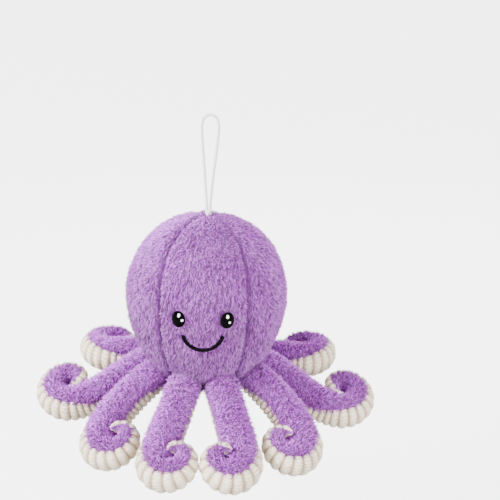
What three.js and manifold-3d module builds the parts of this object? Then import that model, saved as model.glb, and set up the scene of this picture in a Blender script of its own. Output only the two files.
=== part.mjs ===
// Plush octopus on a hanging loop: a stuffed six-panel head and eight curled tentacles
// Millimetres, +Z up, front at -Y, origin at the top of the loop
import * as THREE from 'three';
import { mergeVertices } from 'three/addons/utils/BufferGeometryUtils.js';
import Module from 'manifold-3d';

const wasm = await Module();
wasm.setup();

// Clearances shared by all the pieces
const seamGap = 0.3;
const turningGap = 0.5;
const overrun = 2;
const slopeStep = 0.7;
const fineShare = 0.001;

// Hanging loop, its knot and its two cut ends
const loopHeight = 60;
const cordDiameter = 1.8;
const cordSides = 8;
const cordSteps = 40;
const knotRadius = 2.3;
const knotNeckRadius = 2;
const knotNeckHeight = 2.4;
const tailLength = 3.4;
const knotSides = 12;
const knotRings = 6;

// Left and right strand of the loop, from the knot to the crown, as x and height below the top
const loopRoute = [
  [-1.05, -57.3], [-1.1, -54.5], [-1.4, -50], [-1.9, -44], [-2.4, -38], [-2.95, -32],
  [-3.5, -26], [-4, -20], [-4.45, -14.5], [-4.7, -10], [-4.5, -6.2], [-3.2, -2.8],
  [0.3, -0.9],
  [3.8, -2.8], [5.1, -6.2], [5.3, -10], [5, -14.5], [4.4, -20], [3.8, -26],
  [3.15, -32], [2.5, -38], [1.95, -44], [1.4, -50], [1.1, -54.5], [1.05, -57.3],
];

// Head: a crown above its widest level and a longer taper below it
const headRadius = 49.5;
const crownHeight = 50.7;
const taperDepth = 67;
const crownPowerShare = 2.08;
const taperPowerShare = 1.7;
const headDepthShare = 0.7836;
const headDepth = taperDepth * headDepthShare;
const panelThickness = 1.4;
const seamDepth = 1;
const seamSharpness = 4;
const panelNames = ['front', 'left_front', 'left_back', 'back', 'right_back', 'right_front'];
const panelCount = panelNames.length;
const panelSteps = 4;
const headRows = 11;
const frontSeamDegrees = 33;
const frontSeamSpreadDegrees = 8;

// Base panel and the stuffing that fills the head
const rootRingShare = 0.5253;
const rootRingRadius = headRadius * rootRingShare;
const rootDropShare = 0.6866;
const rootDrop = taperDepth * rootDropShare;
const rootRoom = 1.6;
const snugRoom = 0.4;
const wideRoom = 1.8;
const baseSides = 16;
const bowlShares = [0.35, 0.75];

// Eyes, their washers and the stitched smile
const eyeWidth = 7.5;
const eyeHeight = 9.4;
const eyeBulge = 3.2;
const eyeDrop = 1.2;
const eyeSpacing = 27.6;
const eyeLeanDegrees = 8;
const stemRadius = 1.5;
const stemLength = 4.4;
const washerRadius = 4.4;
const washerThickness = 0.9;
const washerSeat = 2.6;
const eyeSides = 16;
const domeRings = 4;
const stemSides = 8;
const smileWidth = 23;
const smileDrop = 12;
const smileSag = 8.9;
const smileThread = 1.7;
const smileSteps = 14;

// Tentacle skin: a plush top and a ribbed sole round a stuffed core
const tentacleRadius = 9;
const tentacleSwell = 1.2;
const tipRadius = 2.6;
const taperPower = 5;
const skinThickness = 1.1;
const coreGap = 0.7;
const ribHeight = 1.1;
const ribPitch = 6;
const arcSteps = 3;
const rootCutSteps = 9;
const lineSamples = 60;
const tipLengthShare = 0.8;
const tipEndShare = 0.6;
const rootRingsDegrees = [24, 56];
const curlRollDegrees = 60;
const rollStartShare = 0.35;
const rollEndShare = 0.62;
const settleShare = 0.5;
const armReachShare = 0.35;

// How far each pair reaches past the ring of roots, how low its curl lies and how wide it winds
const frontReach = 39.7;
const frontDrop = 36;
const frontCurl = 10.8;
const frontTip = 3.7;
const frontLift = 8.5;
const foreReach = 38.2;
const foreDrop = 35;
const foreCurl = 12;
const foreTip = 3.8;
const foreLift = 7.5;
const sideReach = 63;
const sideDrop = 25;
const sideCurl = 13.5;
const sideTip = 4.8;
const sideLift = 7.5;
const rearReach = 51.4;
const rearDrop = 6;
const rearCurl = 13;
const rearTip = 10.8;
const rearLift = 0.5;

// Each pair of tentacles: bearings are degrees from the front towards the toy's own side
const pairs = [
  { name: 'front', reach: frontReach, drop: frontDrop, curl: frontCurl, tip: frontTip,
    lift: frontLift, room: snugRoom, root: 22.5, leave: 26, descent: 58, centre: 13.2, heading: 16,
    tilt: 26, tiltBearing: 12, turn: 298, power: 2.2, inward: true, up: 25, down: 4 },
  { name: 'fore', reach: foreReach, drop: foreDrop, curl: foreCurl, tip: foreTip,
    lift: foreLift, room: snugRoom, root: 67.5, leave: 66, descent: 28, centre: 51.5, heading: 20,
    tilt: 27, tiltBearing: 26, turn: 296, power: 1.9, inward: true, up: 12, down: 12 },
  { name: 'side', reach: sideReach, drop: sideDrop, curl: sideCurl, tip: sideTip,
    lift: sideLift, room: snugRoom, root: 112.5, leave: 103, descent: 14, centre: 100.4, heading: 74,
    tilt: 29, tiltBearing: 6, turn: 318, power: 1.5, inward: false, up: 10, down: 20 },
  { name: 'rear', reach: rearReach, drop: rearDrop, curl: rearCurl, tip: rearTip,
    lift: rearLift, room: wideRoom, root: 157.5, leave: 135.5, descent: 16, centre: 125.5, heading: 89,
    tilt: 8, tiltBearing: 10, turn: 265, power: 1.4, inward: false, up: 10, down: 14 },
];

// Places that follow from the sizes above
const cordRadius = cordDiameter / 2;
const knotCentre = new THREE.Vector3(0, 0, -loopHeight);
const widestLevel = -loopHeight - crownHeight;
const rootLevel = widestLevel - rootDrop;
const crownHoleRadius = knotRadius + turningGap + seamGap;
const baseRadius = rootRingRadius - tentacleRadius - turningGap - seamGap;
const stuffingInset = panelThickness + 2 * seamGap;
const radians = THREE.MathUtils.degToRad;

// Materials
const plush = new THREE.MeshStandardMaterial({ color: 0xb58ccb, roughness: 0.95, metalness: 0 });
const deepPlush = new THREE.MeshStandardMaterial({ color: 0xb284cc, roughness: 0.95, metalness: 0 });
const creamChenille = new THREE.MeshStandardMaterial({ color: 0xe9dfd2, roughness: 0.9, metalness: 0 });
const fibre = new THREE.MeshStandardMaterial({ color: 0xf4f3ee, roughness: 1, metalness: 0 });
const glossBlack = new THREE.MeshStandardMaterial({ color: 0x08080a, roughness: 0.12, metalness: 0 });
const washerPlastic = new THREE.MeshStandardMaterial({ color: 0xe8e8e4, roughness: 0.5, metalness: 0 });
const blackThread = new THREE.MeshStandardMaterial({ color: 0x121014, roughness: 0.7, metalness: 0 });
const whiteCord = new THREE.MeshStandardMaterial({ color: 0xf2f0ee, roughness: 0.8, metalness: 0 });

const octopus = new THREE.Group();

// Adds one named piece with its own copy of the material
function addPiece(name, geometry, material) {
  const piece = new THREE.Mesh(geometry, material.clone());
  piece.name = name;
  octopus.add(piece);
  return piece;
}

// A horizontal direction at a bearing from the front, in degrees
function bearingDirection(degrees) {
  return new THREE.Vector3(Math.sin(radians(degrees)), -Math.cos(radians(degrees)), 0);
}

// Points and triangles as a geometry, turned so that its faces point outwards
function geometryFrom(points, faces) {
  const volume = faces.reduce((sum, [a, b, c]) =>
    sum + points[a].dot(new THREE.Vector3().crossVectors(points[b], points[c])), 0);
  const outward = volume > 0 ? faces : faces.map(([a, b, c]) => [a, c, b]);
  const geometry = new THREE.BufferGeometry();
  const places = points.flatMap(point => point.toArray());
  geometry.setAttribute('position', new THREE.Float32BufferAttribute(places, 3));
  geometry.setIndex(outward.flat());
  return geometry;
}

// Two sheets of points with the same rows and columns, closed along all four edges;
// a ridge is one more row of the outer sheet, between a row and the next
function closedShell(outer, inner, ridges = []) {
  const rows = outer.length;
  const columns = outer[0].length;
  const points = [...outer.flat(), ...inner.flat()];
  const faces = [];
  const fan = (first, ...others) => {
    for (let index = 1; index < others.length; index += 1) {
      faces.push([first, others[index - 1], others[index]]);
    }
  };
  const strip = (before, after, inside) => {
    for (let column = 0; column < columns - 1; column += 1) {
      const others = [before[column + 1], after[column + 1], after[column]];
      fan(before[column], ...(inside ? others.reverse() : others));
    }
  };
  const numbers = start => Array.from({ length: columns }, (_, column) => start + column);
  for (let row = 0; row < rows - 1; row += 1) {
    const above = [numbers(row * columns), numbers((row + 1) * columns)];
    const below = above.map(line => line.map(number => number + rows * columns));
    if (ridges[row]) {
      above.splice(1, 0, numbers(points.length));
      points.push(...ridges[row]);
    }
    for (let line = 1; line < above.length; line += 1) {
      strip(above[line - 1], above[line], false);
    }
    strip(below[0], below[1], true);
    fan(below[0][0], ...above.map(line => line[0]), below[1][0]);
    fan(below[1][columns - 1], ...above.map(line => line[columns - 1]).reverse(), below[0][columns - 1]);
  }
  for (const [row, inside] of [[0, true], [rows - 1, false]]) {
    strip(numbers(row * columns), numbers((rows + row) * columns), inside);
  }
  return geometryFrom(points, faces);
}

// Closed rings of points joined into one solid with a cap at each end
function solidOfRings(rings) {
  const sides = rings[0].length;
  const points = rings.flat();
  const faces = [];
  for (let ring = 0; ring < rings.length - 1; ring += 1) {
    for (let side = 0; side < sides; side += 1) {
      const next = (side + 1) % sides;
      const a = ring * sides + side;
      const b = ring * sides + next;
      faces.push([a, b, b + sides], [a, b + sides, a + sides]);
    }
  }
  const last = (rings.length - 1) * sides;
  for (let side = 1; side < sides - 1; side += 1) {
    faces.push([0, side + 1, side], [last, last + side, last + side + 1]);
  }
  return geometryFrom(points, faces);
}

// Turns a closed geometry with outward faces into a manifold solid, and back
function toManifold(geometry) {
  const bare = geometry.clone();
  bare.deleteAttribute('normal');
  bare.deleteAttribute('uv');
  const merged = mergeVertices(bare);
  return new wasm.Manifold(new wasm.Mesh({
    numProp: 3,
    vertProperties: new Float32Array(merged.attributes.position.array),
    triVerts: new Uint32Array(merged.index.array),
  }));
}

function fromManifold(solid) {
  const mesh = solid.getMesh();
  const geometry = new THREE.BufferGeometry();
  geometry.setAttribute('position', new THREE.BufferAttribute(mesh.vertProperties, mesh.numProp));
  geometry.setIndex(new THREE.BufferAttribute(mesh.triVerts, 1));
  return geometry;
}

// Head profile by polar angle: 0 at the crown, 90 at the widest level, past it the taper
function headProfile(angle) {
  const crown = angle <= Math.PI / 2;
  const power = 2 / (crown ? crownPowerShare : taperPowerShare);
  const height = crown ? crownHeight : -taperDepth;
  const radius = headRadius * Math.abs(Math.sin(angle)) ** power;
  const level = height * Math.abs(Math.cos(angle)) ** power;
  return new THREE.Vector2(radius, widestLevel + level);
}

// Polar angle of the head's surface at a drop below the widest level
function angleAtDrop(drop) {
  return Math.PI / 2 + Math.asin((drop / taperDepth) ** (taperPowerShare / 2));
}

const crownEdgeAngle = Math.asin((crownHoleRadius / headRadius) ** (crownPowerShare / 2));
const baseEdgeAngle = angleAtDrop(headDepth);

// Outward direction of the profile, as radius and level
function profileNormal(angle) {
  const before = headProfile(angle - fineShare);
  const after = headProfile(angle + fineShare);
  return new THREE.Vector2(before.y - after.y, after.x - before.x).normalize();
}

// A point of the head's surface, moved inwards by an inset
function headPoint(angle, bearing, inset) {
  const profile = headProfile(angle);
  const normal = profileNormal(angle);
  const radius = Math.max(profile.x - normal.x * inset, 0);
  const level = profile.y - normal.y * inset;
  return new THREE.Vector3(Math.sin(bearing) * radius, -Math.cos(bearing) * radius, level);
}

// Bearing of seam number k: the front panel widens towards the crown and the base
function seamBearing(seam, angle) {
  const spread = Math.cos(angle) ** 2;
  const half = radians(frontSeamDegrees + frontSeamSpreadDegrees * spread);
  const others = (2 * Math.PI - 2 * half) / (panelCount - 1);
  return seam === 0 ? -half : half + (seam - 1) * others;
}

// One row of a panel: the cloth crowns between its two seams
function panelRow(panel, angle, inset, gap) {
  const from = seamBearing(panel, angle);
  const to = seamBearing(panel + 1, angle);
  const room = gap / 2 / Math.max(headProfile(angle).x, crownHoleRadius);
  const row = [];
  for (let step = 0; step <= panelSteps; step += 1) {
    const share = step / panelSteps;
    const dip = seamDepth * (2 * share - 1) ** seamSharpness * Math.sin(angle);
    const bearing = THREE.MathUtils.lerp(from + room, to - room, share);
    row.push(headPoint(angle, bearing, inset + dip));
  }
  return row;
}

const headAngles = Array.from({ length: headRows + 1 }, (_, row) =>
  THREE.MathUtils.lerp(crownEdgeAngle, baseEdgeAngle, row / headRows));

// The place where a tentacle of one hand is sewn in: hand 1 is the toy's left, -1 its right
function rootPlace(pair, hand) {
  return bearingDirection(hand * pair.root).multiplyScalar(rootRingRadius).setZ(rootLevel);
}

// Room for a tentacle root and its swing, as a fan cut through the head's lower edge
function rootCutter(tentacle) {
  const reach = headRadius + overrun;
  const radius = tentacleRadius + rootRoom;
  const highest = radians(tentacle.up - tentacle.descent);
  const lowest = radians(-tentacle.descent - tentacle.down);
  const shape = new THREE.Shape();
  shape.absarc(0, 0, radius, highest + Math.PI / 2, lowest + 3 * Math.PI / 2, false);
  const ray = (angle, side) => new THREE.Vector2(
    reach * Math.cos(angle) - side * radius * Math.sin(angle),
    reach * Math.sin(angle) + side * radius * Math.cos(angle));
  const low = ray(lowest, -1);
  const high = ray(highest, 1);
  shape.lineTo(low.x, low.y);
  shape.lineTo(high.x, high.y);
  shape.closePath();
  const halfWidth = tentacleRadius + tentacle.room;
  const geometry = new THREE.ExtrudeGeometry(shape, { depth: 2 * halfWidth, bevelEnabled: false,
    curveSegments: rootCutSteps });
  geometry.translate(0, 0, -halfWidth);
  const along = bearingDirection(tentacle.hand * tentacle.leave);
  const up = new THREE.Vector3(0, 0, 1);
  const across = new THREE.Vector3().crossVectors(along, up);
  geometry.applyMatrix4(new THREE.Matrix4().makeBasis(along, up, across));
  return geometry.applyMatrix4(new THREE.Matrix4().setPosition(rootPlace(tentacle, tentacle.hand)));
}

// The middle line of a tentacle on the toy's left hand, as the viewer sees the right
function tentacleLine(pair) {
  const root = rootPlace(pair, 1);
  const centre = bearingDirection(pair.centre).multiplyScalar(rootRingRadius + pair.reach)
    .setZ(rootLevel - pair.drop);
  const tilt = radians(pair.tilt);
  const normal = bearingDirection(pair.tiltBearing).multiplyScalar(Math.sin(tilt))
    .setZ(Math.cos(tilt));
  const heading = bearingDirection(pair.heading);
  heading.addScaledVector(normal, -heading.dot(normal)).normalize();
  const inner = new THREE.Vector3().crossVectors(normal, heading).multiplyScalar(pair.inward ? -1 : 1);
  const turn = radians(pair.turn);
  const curlPoint = share => {
    const angle = turn * share;
    const radius = THREE.MathUtils.lerp(pair.curl, pair.tip, share ** pair.power);
    return centre.clone()
      .addScaledVector(inner, -radius * Math.cos(angle))
      .addScaledVector(heading, radius * Math.sin(angle))
      .addScaledVector(normal, pair.lift * share ** 2);
  };
  const start = curlPoint(0);
  const reach = start.distanceTo(root) * armReachShare;
  const descent = radians(pair.descent);
  const leaving = bearingDirection(pair.leave).multiplyScalar(Math.cos(descent))
    .setZ(-Math.sin(descent));
  const arriving = curlPoint(fineShare).sub(start).normalize();
  const arm = new THREE.CubicBezierCurve3(root,
    root.clone().addScaledVector(leaving, reach),
    start.clone().addScaledVector(arriving, -reach), start);
  const points = arm.getPoints(lineSamples).slice(0, lineSamples);
  for (let sample = 0; sample <= lineSamples; sample += 1) {
    points.push(curlPoint(sample / lineSamples));
  }
  return { points, normal };
}

// Places along a line of points at even steps, with the direction at each
function evenStations(points, count) {
  const lengths = [0];
  for (let index = 1; index < points.length; index += 1) {
    lengths.push(lengths[index - 1] + points[index].distanceTo(points[index - 1]));
  }
  const total = lengths[lengths.length - 1];
  const at = distance => {
    let index = 1;
    while (index < points.length - 1 && lengths[index] < distance) {
      index += 1;
    }
    const share = (distance - lengths[index - 1]) / (lengths[index] - lengths[index - 1]);
    return points[index - 1].clone().lerp(points[index], share);
  };
  const stations = [];
  for (let index = 0; index <= count; index += 1) {
    const distance = total * index / count;
    const ahead = at(Math.min(distance + slopeStep, total));
    const behind = at(Math.max(distance - slopeStep, 0));
    stations.push({ centre: at(distance), along: ahead.sub(behind).normalize(), share: index / count });
  }
  return { stations, total };
}

function skinRadius(share) {
  const swell = tentacleSwell * Math.sin(Math.PI * share) ** 2;
  return tentacleRadius + swell - (tentacleRadius - tipRadius) * share ** taperPower;
}

// The stations of one tentacle, with the direction that its plush top faces and its wall
function tentacleStations(pair) {
  const line = tentacleLine(pair);
  const rough = evenStations(line.points, 1).total;
  const ribs = Math.round(rough / ribPitch);
  const { stations } = evenStations(line.points, ribs);
  const upright = new THREE.Vector3(0, 0, 1);
  const outward = bearingDirection(pair.leave);
  const start = upright.clone().add(outward);
  for (const station of stations) {
    const settled = Math.min(station.share / settleShare, 1);
    const facing = start.clone().lerp(line.normal, settled);
    facing.addScaledVector(station.along, -facing.dot(station.along)).normalize();
    const outer = new THREE.Vector3().crossVectors(facing, station.along)
      .multiplyScalar(pair.inward ? 1 : -1);
    const rollShare = THREE.MathUtils.smoothstep(station.share, rollStartShare, rollEndShare);
    const roll = radians(curlRollDegrees) * rollShare;
    station.facing = facing.clone().multiplyScalar(Math.cos(roll)).addScaledVector(outer, -Math.sin(roll));
    station.side = outer.clone().multiplyScalar(Math.cos(roll)).addScaledVector(facing, Math.sin(roll));
    station.radius = skinRadius(station.share);
  }
  const first = stations[0];
  const back = rootRingsDegrees.map(degrees => ({ ...first,
    centre: first.centre.clone().addScaledVector(first.along, -first.radius * Math.cos(radians(degrees))),
    radius: first.radius * Math.sin(radians(degrees)) }));
  const last = stations[stations.length - 1];
  const tip = { ...last, centre: last.centre.clone().addScaledVector(last.along, tipRadius * tipLengthShare),
    radius: tipRadius * tipEndShare };
  return { stations: [...back, ...stations, tip], firstRib: back.length };
}

// Half a ring about a station, from one seam round to the other
function halfRing(station, radius, under) {
  const row = [];
  for (let step = 0; step <= arcSteps; step += 1) {
    const angle = Math.PI * (step / arcSteps - 0.5) + (under ? Math.PI : 0);
    const point = station.centre.clone()
      .addScaledVector(station.facing, radius * Math.cos(angle))
      .addScaledVector(station.side, radius * Math.sin(angle));
    if (step === 0 || step === arcSteps) {
      point.addScaledVector(station.facing, (under ? -1 : 1) * seamGap / 2);
    }
    row.push(point);
  }
  return row;
}

function wholeRing(station, radius) {
  const row = [];
  const sides = arcSteps * 2;
  for (let side = 0; side < sides; side += 1) {
    const angle = 2 * Math.PI * side / sides - Math.PI / 2;
    row.push(station.centre.clone()
      .addScaledVector(station.facing, radius * Math.cos(angle))
      .addScaledVector(station.side, radius * Math.sin(angle)));
  }
  return row;
}

// The ribs of the sole: a raised row halfway between each two stations
function soleRidges(rows, stations, firstRib) {
  return rows.slice(0, -2).map((row, index) => {
    if (index < firstRib) {
      return null;
    }
    const next = rows[index + 1];
    const raised = ribHeight * stations[index].radius / tentacleRadius;
    const core = stations[index].centre.clone().lerp(stations[index + 1].centre, 0.5);
    return row.map((point, column) => {
      const middle = point.clone().lerp(next[column], 0.5);
      const outwards = middle.clone().sub(core).normalize();
      return column === 0 || column === arcSteps ? middle : middle.addScaledVector(outwards, raised);
    });
  });
}

function innerRadius(station) {
  return Math.max(station.radius - skinThickness, seamGap);
}

// Every tentacle of both hands
const hands = [1, -1];
const handNames = { 1: 'left', '-1': 'right' };
const tentacles = pairs.flatMap(pair =>
  hands.map(hand => ({ ...pair, hand, name: `tentacle_${pair.name}_${handNames[hand]}` })));

// The frame of an eye on the head's surface: across, along its height and outwards
function eyeFrame(hand) {
  const angle = angleAtDrop(eyeDrop);
  const bearing = hand * Math.asin(eyeSpacing / 2 / headProfile(angle).x);
  const slope = profileNormal(angle);
  const outward = bearingDirection(THREE.MathUtils.radToDeg(bearing)).multiplyScalar(slope.x)
    .setZ(slope.y);
  const up = new THREE.Vector3(0, 0, 1);
  up.addScaledVector(outward, -outward.z).normalize();
  const across = new THREE.Vector3().crossVectors(up, outward);
  const lean = radians(hand * eyeLeanDegrees);
  const tall = up.multiplyScalar(Math.cos(lean)).addScaledVector(across, Math.sin(lean));
  const wide = new THREE.Vector3().crossVectors(tall, outward);
  return new THREE.Matrix4().makeBasis(wide, tall, outward).setPosition(headPoint(angle, bearing, 0));
}

// A round bar along +Z, with its two ends at given heights
function roundBar(radius, from, to, sides) {
  const profile = [[0, from], [radius, from], [radius, to], [0, to]];
  const geometry = new THREE.LatheGeometry(profile.map(([x, y]) => new THREE.Vector2(x, y)), sides);
  geometry.rotateX(Math.PI / 2);
  return geometry;
}

// Head: six crowned panels, cut away where the tentacles are sewn in and the eye stems pass
const allRootCuts = tentacles.map(tentacle => toManifold(rootCutter(tentacle)))
  .reduce((sum, cut) => sum.add(cut));
const stemHoles = hands.map(hand => {
  const bar = roundBar(stemRadius + seamGap, -panelThickness - overrun, overrun, stemSides);
  return toManifold(bar.applyMatrix4(eyeFrame(hand)));
});
panelNames.forEach((name, panel) => {
  const outer = headAngles.map(angle => panelRow(panel, angle, 0, seamGap));
  const inner = headAngles.map(angle => panelRow(panel, angle, panelThickness, seamGap));
  const cloth = toManifold(closedShell(outer, inner)).subtract(allRootCuts);
  const solid = panel === 0 ? stemHoles.reduce((rest, hole) => rest.subtract(hole), cloth) : cloth;
  addPiece(`head_panel_${name}`, fromManifold(solid), plush);
});

// Base panel: a small round patch inside the ring of tentacle roots
const baseTop = widestLevel - headDepth;
const baseProfile = [
  [0, baseTop - panelThickness],
  [baseRadius - panelThickness, baseTop - panelThickness],
  [baseRadius, baseTop - panelThickness / 2],
  [baseRadius, baseTop],
  [0, baseTop],
];
const basePanel = new THREE.LatheGeometry(baseProfile.map(([x, y]) => new THREE.Vector2(x, y)), baseSides);
basePanel.rotateX(Math.PI / 2);
addPiece('base_panel', basePanel, plush);

// Stuffing of the head: a bowl round the knot, full under the panels, a neck behind the roots
const bowlRadius = Math.hypot(knotRadius + seamGap + tailLength, cordDiameter + cordRadius) + turningGap;
const bowlRimAngle = Math.asin((bowlRadius / headRadius) ** (crownPowerShare / 2));
const neckTop = rootLevel + tentacleRadius + turningGap + seamGap;
const shoulder = neckTop + panelThickness + overrun;
const stuffingAngles = [bowlRimAngle, ...headAngles.filter(angle =>
  headProfile(angle).x > bowlRadius + overrun && headProfile(angle).y > shoulder)];
const stuffingRings = stuffingAngles.map(angle => panelNames.flatMap((name, panel) =>
  panelRow(panel, angle, stuffingInset, 0).slice(0, panelSteps)));
const roundRing = (radius, level) => stuffingRings[0].map(point =>
  point.clone().setZ(0).setLength(radius).setZ(level));
const bowlRings = bowlShares.map(share =>
  roundRing(share * bowlRadius, knotCentre.z - Math.sqrt(1 - share ** 2) * bowlRadius));
const neckRings = [neckTop, baseTop + seamGap].map(level => roundRing(baseRadius, level));
const pockets = hands.map(hand => {
  const bar = roundBar(washerRadius + seamGap, -stemLength - seamGap, overrun, eyeSides);
  return toManifold(bar.applyMatrix4(eyeFrame(hand)));
});
const stuffing = toManifold(solidOfRings([...bowlRings, ...stuffingRings, ...neckRings]));
addPiece('head_filling', fromManifold(pockets.reduce((rest, pocket) => rest.subtract(pocket), stuffing)),
  fibre);

// Eyes: an oval dome with a stem through the front panel, and the washer that grips it inside
for (const hand of hands) {
  const domeProfile = [new THREE.Vector2(0, 0)];
  for (let ring = 0; ring <= domeRings; ring += 1) {
    const angle = Math.PI / 2 * ring / domeRings;
    domeProfile.push(new THREE.Vector2(Math.cos(angle), Math.sin(angle)));
  }
  domeProfile[domeProfile.length - 1].x = 0;
  const dome = new THREE.LatheGeometry(domeProfile, eyeSides);
  dome.rotateX(Math.PI / 2);
  dome.scale(eyeWidth / 2, eyeHeight / 2, eyeBulge);
  dome.translate(0, 0, seamGap);
  const stem = roundBar(stemRadius, -stemLength, seamGap + eyeBulge / 2, stemSides);
  const eye = fromManifold(toManifold(dome).add(toManifold(stem)));
  addPiece(`eye_${handNames[hand]}`, eye.applyMatrix4(eyeFrame(hand)), glossBlack);
  const washerProfile = [
    [stemRadius + seamGap, -washerSeat - washerThickness],
    [washerRadius, -washerSeat - washerThickness],
    [washerRadius, -washerSeat],
    [stemRadius + seamGap, -washerSeat],
    [stemRadius + seamGap, -washerSeat - washerThickness],
  ];
  const washer = new THREE.LatheGeometry(washerProfile.map(([x, y]) => new THREE.Vector2(x, y)), eyeSides);
  washer.rotateX(Math.PI / 2);
  addPiece(`eye_washer_${handNames[hand]}`, washer.applyMatrix4(eyeFrame(hand)), washerPlastic);
}

// A many-sided outline for a cord or a thread
function cordSection(radius) {
  const corners = [];
  for (let side = 0; side < cordSides; side += 1) {
    const angle = 2 * Math.PI * (side + 0.5) / cordSides;
    corners.push(new THREE.Vector2(radius * Math.cos(angle), radius * Math.sin(angle)));
  }
  return new THREE.Shape(corners);
}

// Smile: one thick stitched thread in a round arc on the front panel
const smileRadius = ((smileWidth / 2) ** 2 + smileSag ** 2) / (2 * smileSag);
const smileHalfTurn = Math.asin(smileWidth / 2 / smileRadius);
const smilePoints = [];
for (let step = 0; step <= smileSteps; step += 1) {
  const turn = smileHalfTurn * (2 * step / smileSteps - 1);
  const across = smileRadius * Math.sin(turn);
  const angle = angleAtDrop(smileDrop + smileSag - smileRadius * (1 - Math.cos(turn)));
  const bearing = Math.asin(across / headProfile(angle).x);
  smilePoints.push(headPoint(angle, bearing, -smileThread / 2 - seamGap));
}
addPiece('smile', new THREE.ExtrudeGeometry(cordSection(smileThread / 2), {
  steps: smileSteps, bevelEnabled: false, extrudePath: new THREE.CatmullRomCurve3(smilePoints),
}), blackThread);

// Hanging loop: one length of cord that leaves the knot, goes round and comes back
const loopPoints = loopRoute.map(([x, z]) => new THREE.Vector3(x, 0, z));
addPiece('hang_loop', new THREE.ExtrudeGeometry(cordSection(cordRadius), {
  steps: cordSteps, bevelEnabled: false, extrudePath: new THREE.CatmullRomCurve3(loopPoints),
}), whiteCord);

// Knot: a ball half sunk in the crown, with a short neck that both strands enter
const neckAngle = Math.acos(knotNeckRadius / knotRadius);
const knotProfile = [];
for (let ring = 0; ring <= knotRings; ring += 1) {
  const angle = THREE.MathUtils.lerp(-Math.PI / 2, neckAngle, ring / knotRings);
  knotProfile.push(new THREE.Vector2(knotRadius * Math.cos(angle), knotRadius * Math.sin(angle)));
}
knotProfile[0].x = 0;
knotProfile.push(new THREE.Vector2(knotNeckRadius, knotNeckHeight), new THREE.Vector2(0, knotNeckHeight));
const knot = new THREE.LatheGeometry(knotProfile, knotSides);
knot.rotateX(Math.PI / 2);
knot.translate(knotCentre.x, knotCentre.y, knotCentre.z);
addPiece('loop_knot', knot, whiteCord);

// Cut ends of the cord below the knot, sewn flat side by side
const tailOutline = new THREE.Shape();
tailOutline.absarc(cordRadius, 0, cordRadius, -Math.PI / 2, Math.PI / 2);
tailOutline.absarc(-cordRadius, 0, cordRadius, Math.PI / 2, 3 * Math.PI / 2);
const tails = new THREE.ExtrudeGeometry(tailOutline, { depth: tailLength, bevelEnabled: false,
  curveSegments: cordSides / 2 });
tails.translate(0, 0, knotCentre.z - knotRadius - seamGap - tailLength);
addPiece('loop_tails', tails, whiteCord);

// Tentacles: plush top, ribbed sole and stuffed core of each, mirrored from hand to hand
for (const tentacle of tentacles) {
  const { stations, firstRib } = tentacleStations(tentacle);
  const toHand = rows => rows.map(row =>
    row && row.map(point => point.clone().setX(tentacle.hand * point.x)));
  const topOutside = stations.map(station => halfRing(station, station.radius, false));
  const topInside = stations.map(station => halfRing(station, innerRadius(station), false));
  addPiece(`${tentacle.name}_top`, closedShell(toHand(topOutside), toHand(topInside)), deepPlush);
  const soleOutside = stations.map(station => halfRing(station, station.radius, true));
  const soleInside = stations.map(station => halfRing(station, innerRadius(station), true));
  const ridges = soleRidges(soleOutside, stations, firstRib);
  addPiece(`${tentacle.name}_sole`, closedShell(toHand(soleOutside), toHand(soleInside), toHand(ridges)),
    creamChenille);
  const core = stations.slice(1, -1).map(station => wholeRing(station, innerRadius(station) - coreGap));
  addPiece(`${tentacle.name}_filling`, solidOfRings(toHand(core)), fibre);
}

export default octopus;
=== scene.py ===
"""Plush octopus on a cord loop: cloth, pile, ribs, face and cord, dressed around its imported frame."""

import math

import bpy
import numpy as np
from mathutils import Matrix, Vector


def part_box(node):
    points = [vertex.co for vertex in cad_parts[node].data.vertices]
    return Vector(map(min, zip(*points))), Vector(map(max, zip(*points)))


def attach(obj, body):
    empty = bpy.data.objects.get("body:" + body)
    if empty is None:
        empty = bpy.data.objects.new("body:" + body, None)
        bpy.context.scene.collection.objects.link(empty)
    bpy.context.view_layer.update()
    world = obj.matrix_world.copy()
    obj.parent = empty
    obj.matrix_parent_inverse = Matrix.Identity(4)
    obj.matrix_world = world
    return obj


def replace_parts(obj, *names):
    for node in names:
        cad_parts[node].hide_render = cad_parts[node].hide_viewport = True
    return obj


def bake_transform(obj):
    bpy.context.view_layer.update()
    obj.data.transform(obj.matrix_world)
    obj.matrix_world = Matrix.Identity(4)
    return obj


bl_info = {
    "name": "Plush Octopus",
    "version": (1, 0, 0),
    "blender": (4, 5, 0),
    "location": "View3D > Sidebar > Plush Octopus",
    "description": "Builds a plush octopus with curled tentacles on a hanging loop of cord",
    "category": "Object",
}

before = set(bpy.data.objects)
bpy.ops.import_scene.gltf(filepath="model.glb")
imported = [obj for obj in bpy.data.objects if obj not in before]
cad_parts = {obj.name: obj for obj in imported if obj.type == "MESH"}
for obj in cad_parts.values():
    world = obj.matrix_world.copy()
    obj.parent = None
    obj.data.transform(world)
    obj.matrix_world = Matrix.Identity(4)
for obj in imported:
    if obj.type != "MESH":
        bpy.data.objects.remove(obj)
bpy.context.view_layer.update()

MM = 0.001
FULL_TURN = 2 * math.pi
BACKWARDS = np.array([0, 1.0, 0])
MIRRORS = {"left": 1, "right": -1}

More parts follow.
